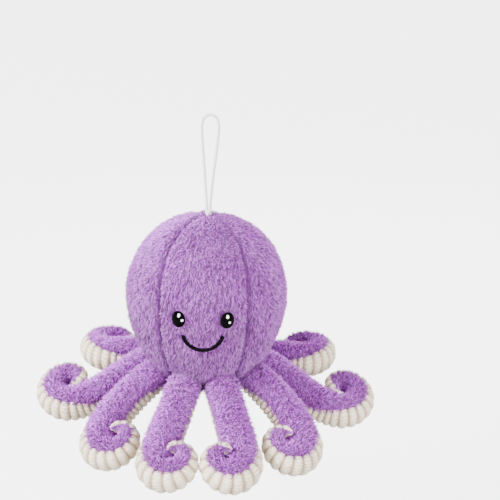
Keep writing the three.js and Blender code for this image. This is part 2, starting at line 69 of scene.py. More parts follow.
# Head profile, as packed: a crown above its widest level and a longer taper below
LOOP_HEIGHT = 60 * MM
HEAD_RADIUS = 49.5 * MM
CROWN_HEIGHT = 50.7 * MM
TAPER_DEPTH = 67 * MM
CROWN_POWER = 2.08
TAPER_POWER = 1.7
HEAD_DEPTH = 0.7836 * TAPER_DEPTH
WIDEST = -LOOP_HEIGHT - CROWN_HEIGHT
PANELS = ["front", "left_front", "left_back", "back", "right_back", "right_front"]
FRONT_SEAM_DEGREES = 33
FRONT_SEAM_SPREAD_DEGREES = 8
KNOT_CENTRE = np.array([0, 0, -LOOP_HEIGHT])
CROWN_HOLE = 3.1 * MM

# Grids of points, as rows and columns, and how many points go round the smaller pieces
GORE_GRID = (118, 40)
PATCH_GRID = (46, 145)
TOP_GRID = (160, 27)
SOLE_GRID = (300, 41)
CORE_GRID = (70, 24)
STUFFING_GRID = (240, 96)
CORD_SIDES = 18
EYE_SIDES = 64
GLINT_SIDES = 28
STITCH_SIDES = 14
FLOOR_SIDES = 33

# Seeds of the random draws, to which a gore or a tentacle adds its own number
GORE_SEED = 100
PATCH_SEED = 160
TENTACLE_SEED = 200

# Pile: its clumps and its patches of one painted shade, how far a tuft starts under the cloth as a share
# of its width, how far it rises from the cloth at least, and the painted shade of the cloth and of a
# tuft's foot, dark as shade deep in the pile
CLUMP_SIZE = 2.6 * MM
SHADE_SIZE = 1.7 * MM
FOOT_DEPTH = 0.3
LEAST_RISE = 0.15
PAINTED_FOOT_SHADE = 0.12

# Cloth of the head: its seams, and how it folds in and ends where a tentacle joins it
SEAM_GAP = 0.15 * MM
SEAM_HALF_WIDTH = 1.9 * MM
ROOT_FOLD_DEPTH = 1.4 * MM
ROOT_FOLD_WIDTH = 2.6 * MM
CLOTH_INTO_ROOT = 0.9 * MM

# Round patch under the head: its free edges, its height over its packed lowest point, its sag, and how it
# rises where a tentacle joins
PATCH_EDGE = 0.4 * MM
PATCH_LIFT = 0.3 * MM
PATCH_SAG = 0.6 * MM
PATCH_RISE = 1.2 * MM
PATCH_RISE_WIDTH = 2.4 * MM

# Stuffing of the head
NECK_RADIUS = 15.6 * MM
NECK_HEIGHT = 12.6 * MM
KNOT_HOLLOW = 7.4 * MM
WASHER_DENT = 3.2 * MM
WASHER_DENT_RADIUS = 5 * MM
HOLLOW_MARGIN = 0.4 * MM
FILLING_GAP = 1.6 * MM

# Face; an eye is 0.4 mm wider and taller than packed, where the pile hides its rim
EYE_WIDTH = 7.9 * MM
EYE_HEIGHT = 9.8 * MM
EYE_DROP = 1.2 * MM
EYE_SPACING = 27.6 * MM
EYE_LEAN_DEGREES = 8
EYE_BULGE = 3.2 * MM
EYE_FULLNESS = 0.9
EYE_STANDOFF = 0.3 * MM
EYE_STEM = 1.5 * MM
SMILE_WIDTH = 23 * MM
SMILE_DROP = 12 * MM
SMILE_SAG = 8.9 * MM
SMILE_STITCHES = 15
STITCH_OVERLAP = 0.28
BARE_ROUND_EYE = 1.2
BARE_ROUND_SMILE = 1.3 * MM

# Tentacles, as packed
ROOT_RING = 0.5253 * HEAD_RADIUS
ROOT_LEVEL = WIDEST - 0.6866 * TAPER_DEPTH
TENTACLE_RADIUS = 9 * MM
TENTACLE_SWELL = 1.2 * MM
TIP_RADIUS = 2.6 * MM
TAPER_EXPONENT = 5
RIB_PITCH = 3.7 * MM
CURL_ROLL_DEGREES = 60
ROLL_START = 0.35
ROLL_END = 0.62
SETTLE_SHARE = 0.5
ARM_REACH_SHARE = 0.35
PAIRS = {
    "front": dict(reach=39.7, drop=36, curl=10.8, tip=3.7, lift=8.5, root=22.5, leave=26, descent=58,
                  centre=13.2, heading=16, tilt=26, tilt_bearing=12, turn=298, power=2.2, inward=True),
    "fore": dict(reach=38.2, drop=35, curl=12, tip=3.8, lift=7.5, root=67.5, leave=66, descent=28,
                 centre=51.5, heading=20, tilt=27, tilt_bearing=26, turn=296, power=1.9, inward=True),
    "side": dict(reach=63, drop=25, curl=13.5, tip=4.8, lift=7.5, root=112.5, leave=103, descent=14,
                 centre=100.4, heading=74, tilt=29, tilt_bearing=6, turn=318, power=1.5, inward=False),
    "rear": dict(reach=51.4, drop=6, curl=13, tip=10.8, lift=0.5, root=157.5, leave=135.5, descent=16,
                 centre=125.5, heading=89, tilt=8, tilt_bearing=10, turn=265, power=1.4, inward=False),
}

# Skins of the tentacles
TUCK_DEGREES = 30
TUCK_SHARE = 0.17
SEAM_DRAW = 0.5 * MM
SEAM_SHADOW_WIDTH = 4.5 * MM
SOLE_DEGREES = 98
TIP_WRAP_DEGREES = 60
SOLE_INSET = 0.75 * MM
KNIT_PITCH = 1.25 * MM
KNIT_HEIGHT = 0.3 * MM
THINNEST_SKIN = 0.2 * MM
THINNEST_LINING = 0.05 * MM
CORE_GAP = 1.25 * MM
THINNEST_CORE = 0.15 * MM
FUZZ_WIDTH = 0.4 * MM

# The cord's lay, and its route from the knot, over the top and back, as x and z in metres
CORD_PLIES = 3
CORD_LAY = 4.4 * MM
STRAND_PLACE = 1.05 * MM
LOOP_ROUTE = MM * np.array([
    [-1.05, -57.3], [-1.1, -54.5], [-1.4, -50], [-1.9, -44], [-2.4, -38], [-2.95, -32],
    [-3.5, -26], [-4, -20], [-4.45, -14.5], [-4.7, -10], [-4.5, -6.2], [-3.2, -2.8],
    [0.3, -0.9],
    [3.8, -2.8], [5.1, -6.2], [5.3, -10], [5, -14.5], [4.4, -20], [3.8, -26],
    [3.15, -32], [2.5, -38], [1.95, -44], [1.4, -50], [1.1, -54.5], [1.05, -57.3]])

# Stage, in metres and watts: each lamp's name, place, power and size
FLOOR_HALF_SIDE = 4
FLOOR_LEVEL = -0.30
FLOOR_FLAT_RADIUS = 1.6
FLOOR_GLOW = 4.5
WORLD_GLOW = 1.18
LAMP_TARGET = (0, 0, -0.13)
LAMPS = (("key", (-1.1, -0.7, 0.6), 108, 0.6),
         ("fill", (0.7, -0.9, -0.1), 34, 1.1),
         ("rim", (0.45, 0.85, 0.8), 40, 0.9))


def length_property(name, description, value):
    """A distance in metres with its name, description and default."""
    return bpy.props.FloatProperty(name=name, description=description, default=value, min=0,
                                   precision=5, subtype="DISTANCE", unit="LENGTH")


def colour_property(name, description, value):
    """A linear RGB colour with its name, description and default."""
    return bpy.props.FloatVectorProperty(name=name, description=description, default=value, size=3,
                                         min=0, max=1, subtype="COLOR")


def amount_property(name, description, value):
    """A plain number without a unit."""
    return bpy.props.FloatProperty(name=name, description=description, default=value, min=0)


class OctopusSizes(bpy.types.PropertyGroup):
    """Sizes of the cloth, its pile, the ribs and the cord"""
    cloth_depth: length_property("Cloth depth", "How far the head's cloth lies below its pile", 1.2 * MM)
    cloth_thickness: length_property("Cloth thickness", "Thickness of the backing cloth", 1.0 * MM)
    pile_length: length_property("Head pile", "Length of the brushed pile on the head", 3.3 * MM)
    arm_pile_length: length_property("Arm pile", "Length of the shaggy pile on the tentacles", 3.6 * MM)
    fuzz_length: length_property("Sole fuzz", "Length of the fuzz on the chenille ribs", 0.9 * MM)
    pile_width: length_property("Head tuft", "Width of a tuft of the head's pile", 1.05 * MM)
    arm_pile_width: length_property("Arm tuft", "Width of a tuft on the tentacles", 0.95 * MM)
    pile_density: amount_property("Head tufts", "Tufts on a square millimetre of the head", 1.9)
    arm_pile_density: amount_property("Arm tufts", "Tufts on a square millimetre of an arm", 2.2)
    fuzz_density: amount_property("Fuzz density", "Tufts on each square millimetre of a sole", 2.6)
    rib_height: length_property("Rib height", "How far a rib stands above the valley beside it", 1.9 * MM)
    seam_depth: length_property("Seam depth", "How deep a seam draws the cloth of the head in", 1.7 * MM)
    cord_diameter: length_property("Cord diameter", "Thickness of the hanging cord", 1.8 * MM)
    smile_thread: length_property("Smile thread", "Thickness of the stitches of the smile", 2.2 * MM)


class OctopusColours(bpy.types.PropertyGroup):
    """Colours of the plush, the ribs, the thread, the eyes and the cord"""
    plush: colour_property("Head plush", "Brushed pile of the head", (0.64, 0.1, 0.84))
    arm_plush: colour_property("Arm plush", "Shaggy pile of the tentacles", (0.74, 0.095, 0.98))
    chenille: colour_property("Chenille", "Ribs of the soles", (1.0, 0.885, 0.71))
    cord: colour_property("Cord", "Twisted hanging cord", (0.74, 0.73, 0.71))
    eye: colour_property("Eye", "Glossy eyes", (0.0003, 0.0003, 0.0003))
    glint: colour_property("Glint", "Painted highlights of the eyes", (0.92, 0.92, 0.92))
    thread: colour_property("Thread", "Stitches of the smile", (0.0005, 0.0005, 0.0005))
    fibre: colour_property("Fibre", "Stuffing", (0.90, 0.89, 0.86))
    washer: colour_property("Washer", "Washers behind the eyes", (0.80, 0.80, 0.78))
    floor: colour_property("Floor", "Floor and backdrop", (0.25, 0.25, 0.25))


# Shapes

def unit(vectors):
    """Each vector divided by its own length."""
    return vectors / np.maximum(np.linalg.norm(vectors, axis=-1, keepdims=True), 1e-12)


def bell(distance, width):
    """The exponential of minus the square of a distance over a width: 1 at no distance."""
    return np.exp(-(distance / width) ** 2)


def around(count):
    """Even angles once round a circle."""
    return np.arange(count) / count * FULL_TURN


def stacked(x, y, z):
    """Points from x, y and z, each of which may vary along one side of the grid alone."""
    return np.stack(np.broadcast_arrays(x, y, z), -1)


def corners(grid):
    """The values at the four corners of each quad of a grid."""
    return grid[1:, 1:], grid[1:, :-1], grid[:-1, 1:], grid[:-1, :-1]


def run_along(path):
    """Distance along a path to each of its points."""
    return np.concatenate([[0], np.cumsum(np.linalg.norm(np.diff(path, axis=0), axis=1))])


def read_at(where, run, values):
    """Vectors given at the points of a path, read at distances along it."""
    return np.stack([np.interp(where, run, values[:, k]) for k in range(3)], -1)


def wander(points, scale, seed):
    """Smooth wandering value about -1 to 1: the mean of sines of seven random directions over a scale."""
    rng = np.random.default_rng(seed)
    directions = unit(rng.normal(size=(7, points.shape[-1])))
    directions = directions * rng.uniform(0.6, 1.7, (7, 1)) * FULL_TURN / scale
    phases = rng.uniform(0, FULL_TURN, 7)
    return np.sin(points @ directions.T + phases).mean(-1) * 1.8


def grid_faces(rows, columns, wrap=False):
    """Corner numbers of the quads of a grid of points, whose columns may join up into rings."""
    row, column = np.meshgrid(np.arange(rows - 1), np.arange(columns - (not wrap)), indexing="ij")
    following = (column + 1) % columns
    return np.stack([row * columns + column, row * columns + following,
                     (row + 1) * columns + following, (row + 1) * columns + column], -1).reshape(-1, 4)


def cloth_shell(outer, inner, middle, kept=None):
    """A closed shell of cloth as a part for new_piece, with the outward normals of its outer grid, which
    are the cross products of the grid's two slopes. Two grids of points lie over each other; the quads
    that are kept of each are joined by a wall along every edge that only one kept quad has. All faces
    point away from the middle. The cloth takes the left half of the map, and its pile the right."""
    rows, columns = outer.shape[:2]
    size = rows * columns
    faces = grid_faces(rows, columns)
    if kept is not None:
        faces = faces[kept.ravel()]
    edges = np.concatenate([faces[:, [k, (k + 1) % 4]] for k in range(4)])
    border = edges[~np.isin(edges @ (size, 1), edges @ (1, size))]
    walls = np.stack([border[:, 1], border[:, 0], border[:, 0] + size, border[:, 1] + size], -1)
    points = np.concatenate([outer.reshape(-1, 3), inner.reshape(-1, 3)])
    quads = np.concatenate([faces, faces[:, ::-1] + size, walls])
    u, v = np.meshgrid(np.linspace(0, 1, columns), np.linspace(0, 1, rows))
    flat = np.stack([u.ravel() * 0.5 * 0.49, v.ravel() * 0.98], -1)
    uv = np.concatenate([flat, flat + (0.25, 0)])[quads]
    uv[len(faces) * 2:, 2:] = uv[len(faces) * 2:, 1::-1] + (0.002, 0.002)
    normals = unit(np.cross(np.gradient(outer, axis=1), np.gradient(outer, axis=0)))
    if (normals * (outer - middle)).sum() < 0:
        normals, quads, uv = -normals, quads[:, ::-1], uv[:, ::-1]
    used, numbers = np.unique(quads, return_inverse=True)
    return (points[used], numbers.reshape(quads.shape), uv, np.full(len(used), PAINTED_FOOT_SHADE)), normals


def tube_rings(path, side, up, radius, sides):
    """Rings of points about a path: centre plus radius times (side cos t + up sin t)."""
    turn = around(sides)[None, :, None]
    ring = side[:, None, :] * np.cos(turn) + up[:, None, :] * np.sin(turn)
    return path[:, None, :] + ring * np.broadcast_to(radius, (len(path), sides))[..., None]


def capped_rings(rings, height=None):
    """Rings joined into a closed surface, with a fan to the middle of each end, as two parts for
    new_piece. The faces are turned round if the volume that they enclose is negative. The height is
    the painted shade of the rings' points, where a low value paints a groove dark as shade; it is 1
    where none is given."""
    rows, sides = rings.shape[:2]
    points = np.concatenate([rings.reshape(-1, 3), rings[0].mean(0)[None], rings[-1].mean(0)[None]])
    quads = grid_faces(rows, sides, wrap=True)
    column, row = quads[:, [0, 0, 0, 0]] % sides, quads[:, [0, 0, 0, 0]] // sides
    uv = np.stack([(column + [0, 1, 1, 0]) / sides, (row + [0, 0, 1, 1]) / rows * 0.9], -1)
    number = np.arange(sides)
    first = np.stack([np.full(sides, -2), (number + 1) % sides - len(points), number - len(points)], -1)
    last = np.stack([np.full(sides, -1), number - sides - 2, (number + 1) % sides - sides - 2], -1)
    caps = np.concatenate([first, last])
    cap_uv = np.stack([np.array([[0.5, 0.5], [1, 0], [0, 0]])] * (2 * sides)) * 0.04 + (0.0, 0.94)
    cap_uv[:, :, 0] += np.arange(2 * sides)[:, None] / (2 * sides) * 0.95
    a, b, c = (points[quads[:, k]] for k in range(3))
    if np.einsum("ij,ij->i", a, np.cross(b, c)).sum() <= 0:
        quads, uv, caps, cap_uv = quads[:, ::-1], uv[:, ::-1], caps[:, ::-1], cap_uv[:, ::-1]
    heights = np.ones(len(points)) if height is None else np.concatenate([height.ravel(), [1, 1]])
    return [(points, quads, uv, heights), (np.zeros((0, 3)), caps, cap_uv, np.zeros(0))]


def apart(surfaces):
    """The parts of several closed surfaces as parts of one piece, each on its own square of the map."""
    across = math.ceil(math.sqrt(len(surfaces)))
    parts = []
    for number, surface in enumerate(surfaces):
        corner = np.array([number % across, number // across]) / across
        parts += [(points, faces, corner + uv / across, height) for points, faces, uv, height in surface]
    return parts


def new_piece(name, parts, material, slot=None, mirror=1):
    """Puts arrays of points and faces into one mesh object. Each part is (points, faces, map corners,
    painted shade from 0 to 1, dark as shade deep in the pile and in hollows, light at a tuft's tip). A
    mirrored piece has its x turned round, and its faces with it."""
    points = np.concatenate([part[0] for part in parts]) * (mirror, 1, 1)
    starts = np.cumsum([0] + [len(part[0]) for part in parts])
    loops, uvs, sizes = [], [], []
    for (_, faces, uv, _), start in zip(parts, starts):
        if mirror < 0:
            faces, uv = faces[:, ::-1], uv[:, ::-1]
        loops.append((faces + start).ravel())
        uvs.append(uv.reshape(-1, 2))
        sizes.append(np.full(len(faces), faces.shape[1]))
    loops, uvs, sizes = np.concatenate(loops), np.concatenate(uvs), np.concatenate(sizes)
    mesh = bpy.data.meshes.new(name)
    mesh.vertices.add(len(points))
    mesh.vertices.foreach_set("co", points.astype(np.float32).ravel())
    mesh.loops.add(len(loops))
    mesh.loops.foreach_set("vertex_index", loops.astype(np.int32))
    mesh.polygons.add(len(sizes))
    mesh.polygons.foreach_set("loop_start", (np.cumsum(sizes) - sizes).astype(np.int32))
    mesh.update(calc_edges=True)
    mesh.polygons.foreach_set("use_smooth", np.ones(len(sizes), bool))
    mesh.uv_layers.new(name="OFBake").data.foreach_set("uv", uvs.astype(np.float32).ravel())
    # The painted shade of the pile: dark deep in the pile and in hollows, light at a tuft's tip
    height = mesh.attributes.new("painted_pile_shade", "FLOAT", "POINT")
    height.data.foreach_set("value", np.concatenate([part[3] for part in parts]).astype(np.float32))
    mesh.materials.append(material)
    if mesh.validate():
        raise RuntimeError(f"{name} has faulty faces")
    piece = bpy.data.objects.new(name, mesh)
    bpy.context.scene.collection.objects.link(piece)
    return piece if slot else piece


# Pile

def scatter(fields, allowed, density, rng):
    """Values of the fields at random places on a grid surface, whose points are the first three fields.
    The places are spread evenly over its area times how far each is allowed, and a value is a blend of
    the place's quad's four corners."""
    points = fields[..., :3]
    lower, right = points[1:, :-1] - points[:-1, :-1], points[:-1, 1:] - points[:-1, :-1]
    area = np.linalg.norm(np.cross(lower, right), axis=-1)
    share = np.cumsum((area * (sum(corners(allowed)) / 4)).ravel())
    count = int(share[-1] * density / MM ** 2)
    pick = np.searchsorted(share, (np.arange(count) + rng.uniform(0, 1, count)) / count * share[-1])
    row, column = np.divmod(np.minimum(pick, area.size - 1), area.shape[1])
    a, b = rng.uniform(0, 1, (2, count, 1))
    return ((fields[row, column] * (1 - a) + fields[row + 1, column] * a) * (1 - b)
            + (fields[row, column + 1] * (1 - a) + fields[row + 1, column + 1] * a) * b)


def pile(outer, normals, nap, tall, bright, flow, allowed, kind, rng):
    """Tufts of pile on a grid surface, as a part for new_piece; each is a closed spike of three sides.
    The kind gives their density, length, width and spread. A tuft stands at a point, leans from the
    normal towards the nap direction, and strays by the spread in a random direction. Tufts near each
    other in the flow of the pile clump: they stray alike and share a painted shade. A few are painted
    dark as shade deep in the pile. Each tuft is painted from a dark foot to its tip's shade, times the
    bright field, which paints shade into seams, creases and hollows."""
    density, length, width, spread = kind
    fields = np.concatenate([outer, normals, nap, tall[..., None], bright[..., None], flow], -1)
    fields = scatter(fields, allowed, density, rng)
    points, normals, nap = fields[:, :3], unit(fields[:, 3:6]), fields[:, 6:9]
    tall, bright, flow = fields[:, 9:10], fields[:, 10], fields[:, 11:]
    count = len(points)
    clump = np.stack([wander(flow, CLUMP_SIZE, seed) for seed in (71, 72, 73)], -1)
    stray = rng.normal(size=(count, 3)) * spread + clump * spread * 2
    direction = unit(unit(normals + nap) + stray)
    rise = np.einsum("ij,ij->i", direction, normals)
    direction = unit(direction + normals * np.maximum(LEAST_RISE - rise, 0)[:, None])
    side = unit(np.cross(direction, rng.normal(size=(count, 3))))
    root = points - normals * width * FOOT_DEPTH
    foot = tube_rings(root, side, np.cross(direction, side), width / 2, 3)
    tip = root + direction * (length * tall * rng.uniform(0.7, 1.1, count)[:, None])
    spikes = np.concatenate([foot, tip[:, None, :]], 1).reshape(-1, 3)
    pattern = np.array([[0, 1, 3], [1, 2, 3], [2, 0, 3], [0, 2, 1]])
    faces = (np.arange(count)[:, None, None] * 4 + pattern).reshape(-1, 3)
    places = np.array([[[0, 0], [0.33, 0], [0.16, 1]], [[0.33, 0], [0.66, 0], [0.5, 1]],
                       [[0.66, 0], [1, 0], [0.83, 1]], [[0.7, 0.6], [0.66, 0.95], [0.62, 0.6]]])
    across = max(1, math.ceil(math.sqrt(count)))
    cell = np.stack(np.divmod(np.arange(count), across)[::-1], -1)[:, None, None, :]
    uv = ((cell + 0.08 + 0.84 * places) / across * (0.5, 1) + (0.5, 0)).reshape(-1, 3, 2)
    # Painted shade: a few tufts are painted dark, and each tuft's foot darker than its tip, as shade deep
    # in the pile
    painted_dark_share = rng.uniform(0, 1, count) ** 1.6
    shade = np.clip(0.98 - 0.95 * painted_dark_share + 0.6 * wander(flow, SHADE_SIZE, seed=74), 0.03, 1) * bright
    return spikes, faces, uv, np.stack([PAINTED_FOOT_SHADE * shade] * 3 + [shade], -1).ravel()


# Materials

def new_material(name, colour, roughness, **sockets):
    """A plain principled material with its uniform values on its own sockets, and its node tree."""
    material = bpy.data.materials.new(name)
    material.use_nodes = True
    shader = material.node_tree.nodes["Principled BSDF"]
    sockets.update(Base_Color=(*colour, 1), Roughness=roughness)
    for socket, value in sockets.items():
        shader.inputs[socket.replace("_", " ")].default_value = value
    return material, material.node_tree


def feed(tree, socket, value):
    """Gives an input a value, or links another node's output to it."""
    if isinstance(value, bpy.types.NodeSocket):
        tree.links.new(value, socket)
    else:
        socket.default_value = value


def add_node(tree, kind, **settings):
    """A node of a kind with its settings; a setting of socket_NAME goes to that input, as a value or as
    a link from another node's output."""
    node = tree.nodes.new(kind)
    for key, value in settings.items():
        if key.startswith("socket_"):
            feed(tree, node.inputs[key[7:].replace("_", " ")], value)
        else:
            setattr(node, key, value)
    return node


def mixed(tree, factor, first, second):
    """A colour between two, where the factor and each colour may be a value or a socket."""
    mix = add_node(tree, "ShaderNodeMix", data_type="RGBA")
    number = next(s for s in mix.inputs if s.type == "VALUE" and s.enabled)
    sockets = [number] + [s for s in mix.inputs if s.type == "RGBA"]
    for socket, value in zip(sockets, (factor, first, second)):
        feed(tree, socket, value)
    return next(s for s in mix.outputs if s.type == "RGBA")


def tinted(colour, share):
    """A colour drawn towards white for a positive share, or towards black for a negative one."""
    target = 1.0 if share > 0 else 0.0
    return (*(c + (target - c) * abs(share) for c in colour), 1)


def noise(tree, scale, detail=2.0, roughness=0.5, stretch=(1, 1, 1)):
    """Noise on Object coordinates, in features per metre, stretched along the axes."""
    place = add_node(tree, "ShaderNodeTexCoord")
    mapping = add_node(tree, "ShaderNodeMapping", socket_Vector=place.outputs["Object"],
                       socket_Scale=stretch)
    node = add_node(tree, "ShaderNodeTexNoise", socket_Vector=mapping.outputs["Vector"],
                    socket_Scale=scale, socket_Detail=detail, socket_Roughness=roughness)
    return node.outputs["Fac"]


def cloudy(tree, half, *grain):
    """Noise stretched so that a half less than one half becomes 0, and as much more becomes 1."""
    node = add_node(tree, "ShaderNodeMapRange", socket_Value=noise(tree, *grain),
                    socket_From_Min=0.5 - half, socket_From_Max=0.5 + half)
    return node.outputs["Result"]


def painted_shade_in_pile(tree):
    """The painted shade of the pile that a piece's own points carry: dark as shade deep in the pile and
    in hollows.
    """
    return add_node(tree, "ShaderNodeAttribute", attribute_name="painted_pile_shade").outputs["Fac"]


def patterned(material, colour, grain, depth, strength=1.0):
    """Joins a colour pattern and the bumps of a noise grain to a material's shader."""
    tree = material.node_tree
    shader = tree.nodes["Principled BSDF"]
    bump = add_node(tree, "ShaderNodeBump", socket_Distance=depth, socket_Strength=strength,
                    socket_Height=noise(tree, *grain))
    tree.links.new(bump.outputs["Normal"], shader.inputs["Normal"])
    tree.links.new(colour, shader.inputs["Base Color"])
    return material


def plush_material(name, colour, streak):
    """Plush: painted darker at the foot of the pile, as shade deep among the tufts, and paler at its tips
    as painted light, with lighter and darker patches.
    """
    material, tree = new_material(name, colour, 0.95, Sheen_Weight=0.15, Sheen_Roughness=0.4,
                                  Sheen_Tint=(1.0, 0.80, 1.0, 1), Specular_IOR_Level=0.08)
    patches = cloudy(tree, 0.15, 75, 3.0, 0.55, streak)
    fine = cloudy(tree, 0.2, 520, 2.0, 0.6, streak)
    # Painted shade at the foot of the pile and painted light at its tips
    foot = mixed(tree, patches, tinted(colour, -0.9), tinted(colour, -0.84))
    tips = mixed(tree, patches, tinted(colour, -0.06), tinted(colour, 0.07))
    pile_colour = mixed(tree, painted_shade_in_pile(tree), foot, tips)
    paler = mixed(tree, 0.06, pile_colour, (1.0, 0.85, 1.0, 1))
    return patterned(material, mixed(tree, fine, pile_colour, paler), (900, 2.0, 0.6), 0.25 * MM, 0.5)


def chenille_material(name, colour):
    """Chenille: cream yarn painted warmer and darker in the valleys between its ribs, as shade."""
    material, tree = new_material(name, colour, 0.95, Sheen_Weight=0.15, Sheen_Roughness=0.5,
                                  Specular_IOR_Level=0.1)
    # Painted shade: the valleys between the ribs and the foot of the fuzz take this darker, warmer colour
    valley = (colour[0] * 0.30, colour[1] * 0.22, colour[2] * 0.16, 1)
    fine = cloudy(tree, 0.2, 700, 2.0, 0.6)
    ridge = mixed(tree, fine, tinted(colour, -0.08), tinted(colour, 0.2))
    return patterned(material, mixed(tree, painted_shade_in_pile(tree), valley, ridge), (1100, 2.0, 0.6),
                     0.2 * MM, 0.5)


def fibre_material(name, colour):
    """Loose fibre: pale, matt and cloudy."""
    material, tree = new_material(name, colour, 1.0, Sheen_Weight=0.3)
    cloud = cloudy(tree, 0.2, 160, 5.0, 0.65)
    return patterned(material, mixed(tree, cloud, tinted(colour, -0.14), tinted(colour, 0.4)),
                     (300, 6.0, 0.7), 1.0 * MM)


def yarn_material(name, colour, gleam):
    """Twisted yarn: the grooves between its plies are painted darker as shade, as its own painted shade
    says, and its bright fibres are drawn towards white by the gleam, a painted sheen."""
    material, tree = new_material(name, colour, 0.8, Specular_IOR_Level=0.02)
    fine = cloudy(tree, 0.2, 1600, 2.0, 0.6)
    bright = mixed(tree, fine, tinted(colour, -0.08), tinted(colour, gleam))
    # Painted shade in the grooves between the plies
    return patterned(material, mixed(tree, painted_shade_in_pile(tree), tinted(colour, -0.45), bright),
                     (2600, 2.0, 0.5), 0.06 * MM, 0.6)


def gloss_material(name, colour):
    """Polished plastic with faint haze, for the eyes."""
    material, tree = new_material(name, colour, 0.15, Specular_IOR_Level=0.008)
    haze = cloudy(tree, 0.2, 300, 3.0, 0.5)
    return patterned(material, mixed(tree, haze, tinted(colour, 0), tinted(colour, 0.002)),
                     (900, 2.0, 0.5), 0.005 * MM, 0.2)


def moulded_material(name, colour, roughness):
    """Moulded plastic or paint with a fine grain."""
    material, tree = new_material(name, colour, roughness)
    grain = cloudy(tree, 0.2, 1500, 2.0, 0.5)
    return patterned(material, mixed(tree, grain, tinted(colour, -0.05), tinted(colour, 0.05)),
                     (2400, 2.0, 0.5), 0.01 * MM, 0.3)


# The head's surface

def head_profile(angle):
    """Radius and level at a polar angle: a superellipse for the crown and another for the taper."""
    crown = angle <= math.pi / 2
    power = np.where(crown, 2 / CROWN_POWER, 2 / TAPER_POWER)
    height = np.where(crown, CROWN_HEIGHT, -TAPER_DEPTH)
    return (HEAD_RADIUS * np.abs(np.sin(angle)) ** power,
            WIDEST + height * np.abs(np.cos(angle)) ** power)


def angle_at_drop(drop):
    """Polar angle of the taper at a drop below the head's widest level: the profile turned round."""
    return math.pi / 2 + np.arcsin((drop / TAPER_DEPTH) ** (TAPER_POWER / 2))


def angle_at_radius(radius):
    """Polar angle of the crown where it is as wide as a radius: the profile turned round."""
    return float(np.arcsin((radius / HEAD_RADIUS) ** (CROWN_POWER / 2)))


def head_point(angle, bearing, inset):
    """A point of the head's surface moved inwards along the profile's normal."""
    angle, bearing, inset = np.broadcast_arrays(angle, bearing, inset)
    radius, level = head_profile(angle)
    before, after = head_profile(angle - 1e-3), head_profile(angle + 1e-3)
    slope = unit(np.stack([before[1] - after[1], after[0] - before[0]], -1))
    radius = np.maximum(radius - slope[..., 0] * inset, 0)
    level = level - slope[..., 1] * inset
    return stacked(np.sin(bearing) * radius, -np.cos(bearing) * radius, level)


def seam_bearing(seam, angle):
    """Bearing of a seam: the front panel widens by the squared cosine towards crown and base."""
    half = np.radians(FRONT_SEAM_DEGREES + FRONT_SEAM_SPREAD_DEGREES * np.cos(angle) ** 2)
    if seam == 0:
        return -half
    return half + (seam - 1) * (FULL_TURN - 2 * half) / (len(PANELS) - 1)


def bearing_direction(degrees):
    """A level direction at a bearing from the front towards the toy's left."""
    turn = math.radians(degrees)
    return np.array([math.sin(turn), -math.cos(turn), 0.0])


def eye_frame(mirror):
    """Place of an eye on the head's face, and its axes (across, up, out) as three rows."""
    angle = angle_at_drop(EYE_DROP)
    bearing = math.asin(mirror * EYE_SPACING / 2 / float(head_profile(angle)[0]))
    place = head_point(angle, bearing, 0.0)
    out = unit(place - head_point(angle, bearing, MM))
    up = unit(np.array([0, 0, 1.0]) - out * out[2])
    lean = math.radians(mirror * EYE_LEAN_DEGREES)
    tall = up * math.cos(lean) + np.cross(up, out) * math.sin(lean)
    return place, np.array([np.cross(tall, out), tall, out])


def smile_arc(count, inset):
    """Points of the smile: a round arc laid on the head's face at an inset."""
    radius = ((SMILE_WIDTH / 2) ** 2 + SMILE_SAG ** 2) / (2 * SMILE_SAG)
    turn = math.asin(SMILE_WIDTH / 2 / radius) * np.linspace(-1, 1, count)
    angle = angle_at_drop(SMILE_DROP + SMILE_SAG - radius * (1 - np.cos(turn)))
    return head_point(angle, np.arcsin(radius * np.sin(turn) / head_profile(angle)[0]), inset)


# The tentacles' middle lines

def tentacle_line(pair):
    """Middle line of a left tentacle: a cubic curve from the root into a lifted, tightening spiral.
    Returns its points, the curl's normal and the direction in which the tentacle leaves the head."""
    root = bearing_direction(pair["root"]) * ROOT_RING + (0, 0, ROOT_LEVEL)
    centre = bearing_direction(pair["centre"]) * (ROOT_RING + pair["reach"] * MM)
    centre[2] = ROOT_LEVEL - pair["drop"] * MM
    tilt = math.radians(pair["tilt"])
    normal = bearing_direction(pair["tilt_bearing"]) * math.sin(tilt) + (0, 0, math.cos(tilt))
    heading = bearing_direction(pair["heading"])
    heading = unit(heading - normal * (heading @ normal))
    inner = np.cross(normal, heading) * (-1 if pair["inward"] else 1)

    def curl_point(share):
        angle = math.radians(pair["turn"]) * share
        radius = MM * (pair["curl"] + (pair["tip"] - pair["curl"]) * share ** pair["power"])
        return (centre - inner * (radius * np.cos(angle))[:, None]
                + heading * (radius * np.sin(angle))[:, None]
                + normal * (MM * pair["lift"] * share ** 2)[:, None])
    start, just_after = curl_point(np.array([0, 0.001]))
    reach = np.linalg.norm(start - root) * ARM_REACH_SHARE
    descent = math.radians(pair["descent"])
    leaving = bearing_direction(pair["leave"]) * math.cos(descent) - (0, 0, math.sin(descent))
    arriving = unit(just_after - start)
    knots = np.array([root, root + leaving * reach, start - arriving * reach, start])
    t = np.linspace(0, 1, 161)[:-1, None]
    arm = ((1 - t) ** 3 * knots[0] + 3 * (1 - t) ** 2 * t * knots[1]
           + 3 * (1 - t) * t ** 2 * knots[2] + t ** 3 * knots[3])
    return np.concatenate([arm, curl_point(np.linspace(0, 1, 241))]), normal, leaving


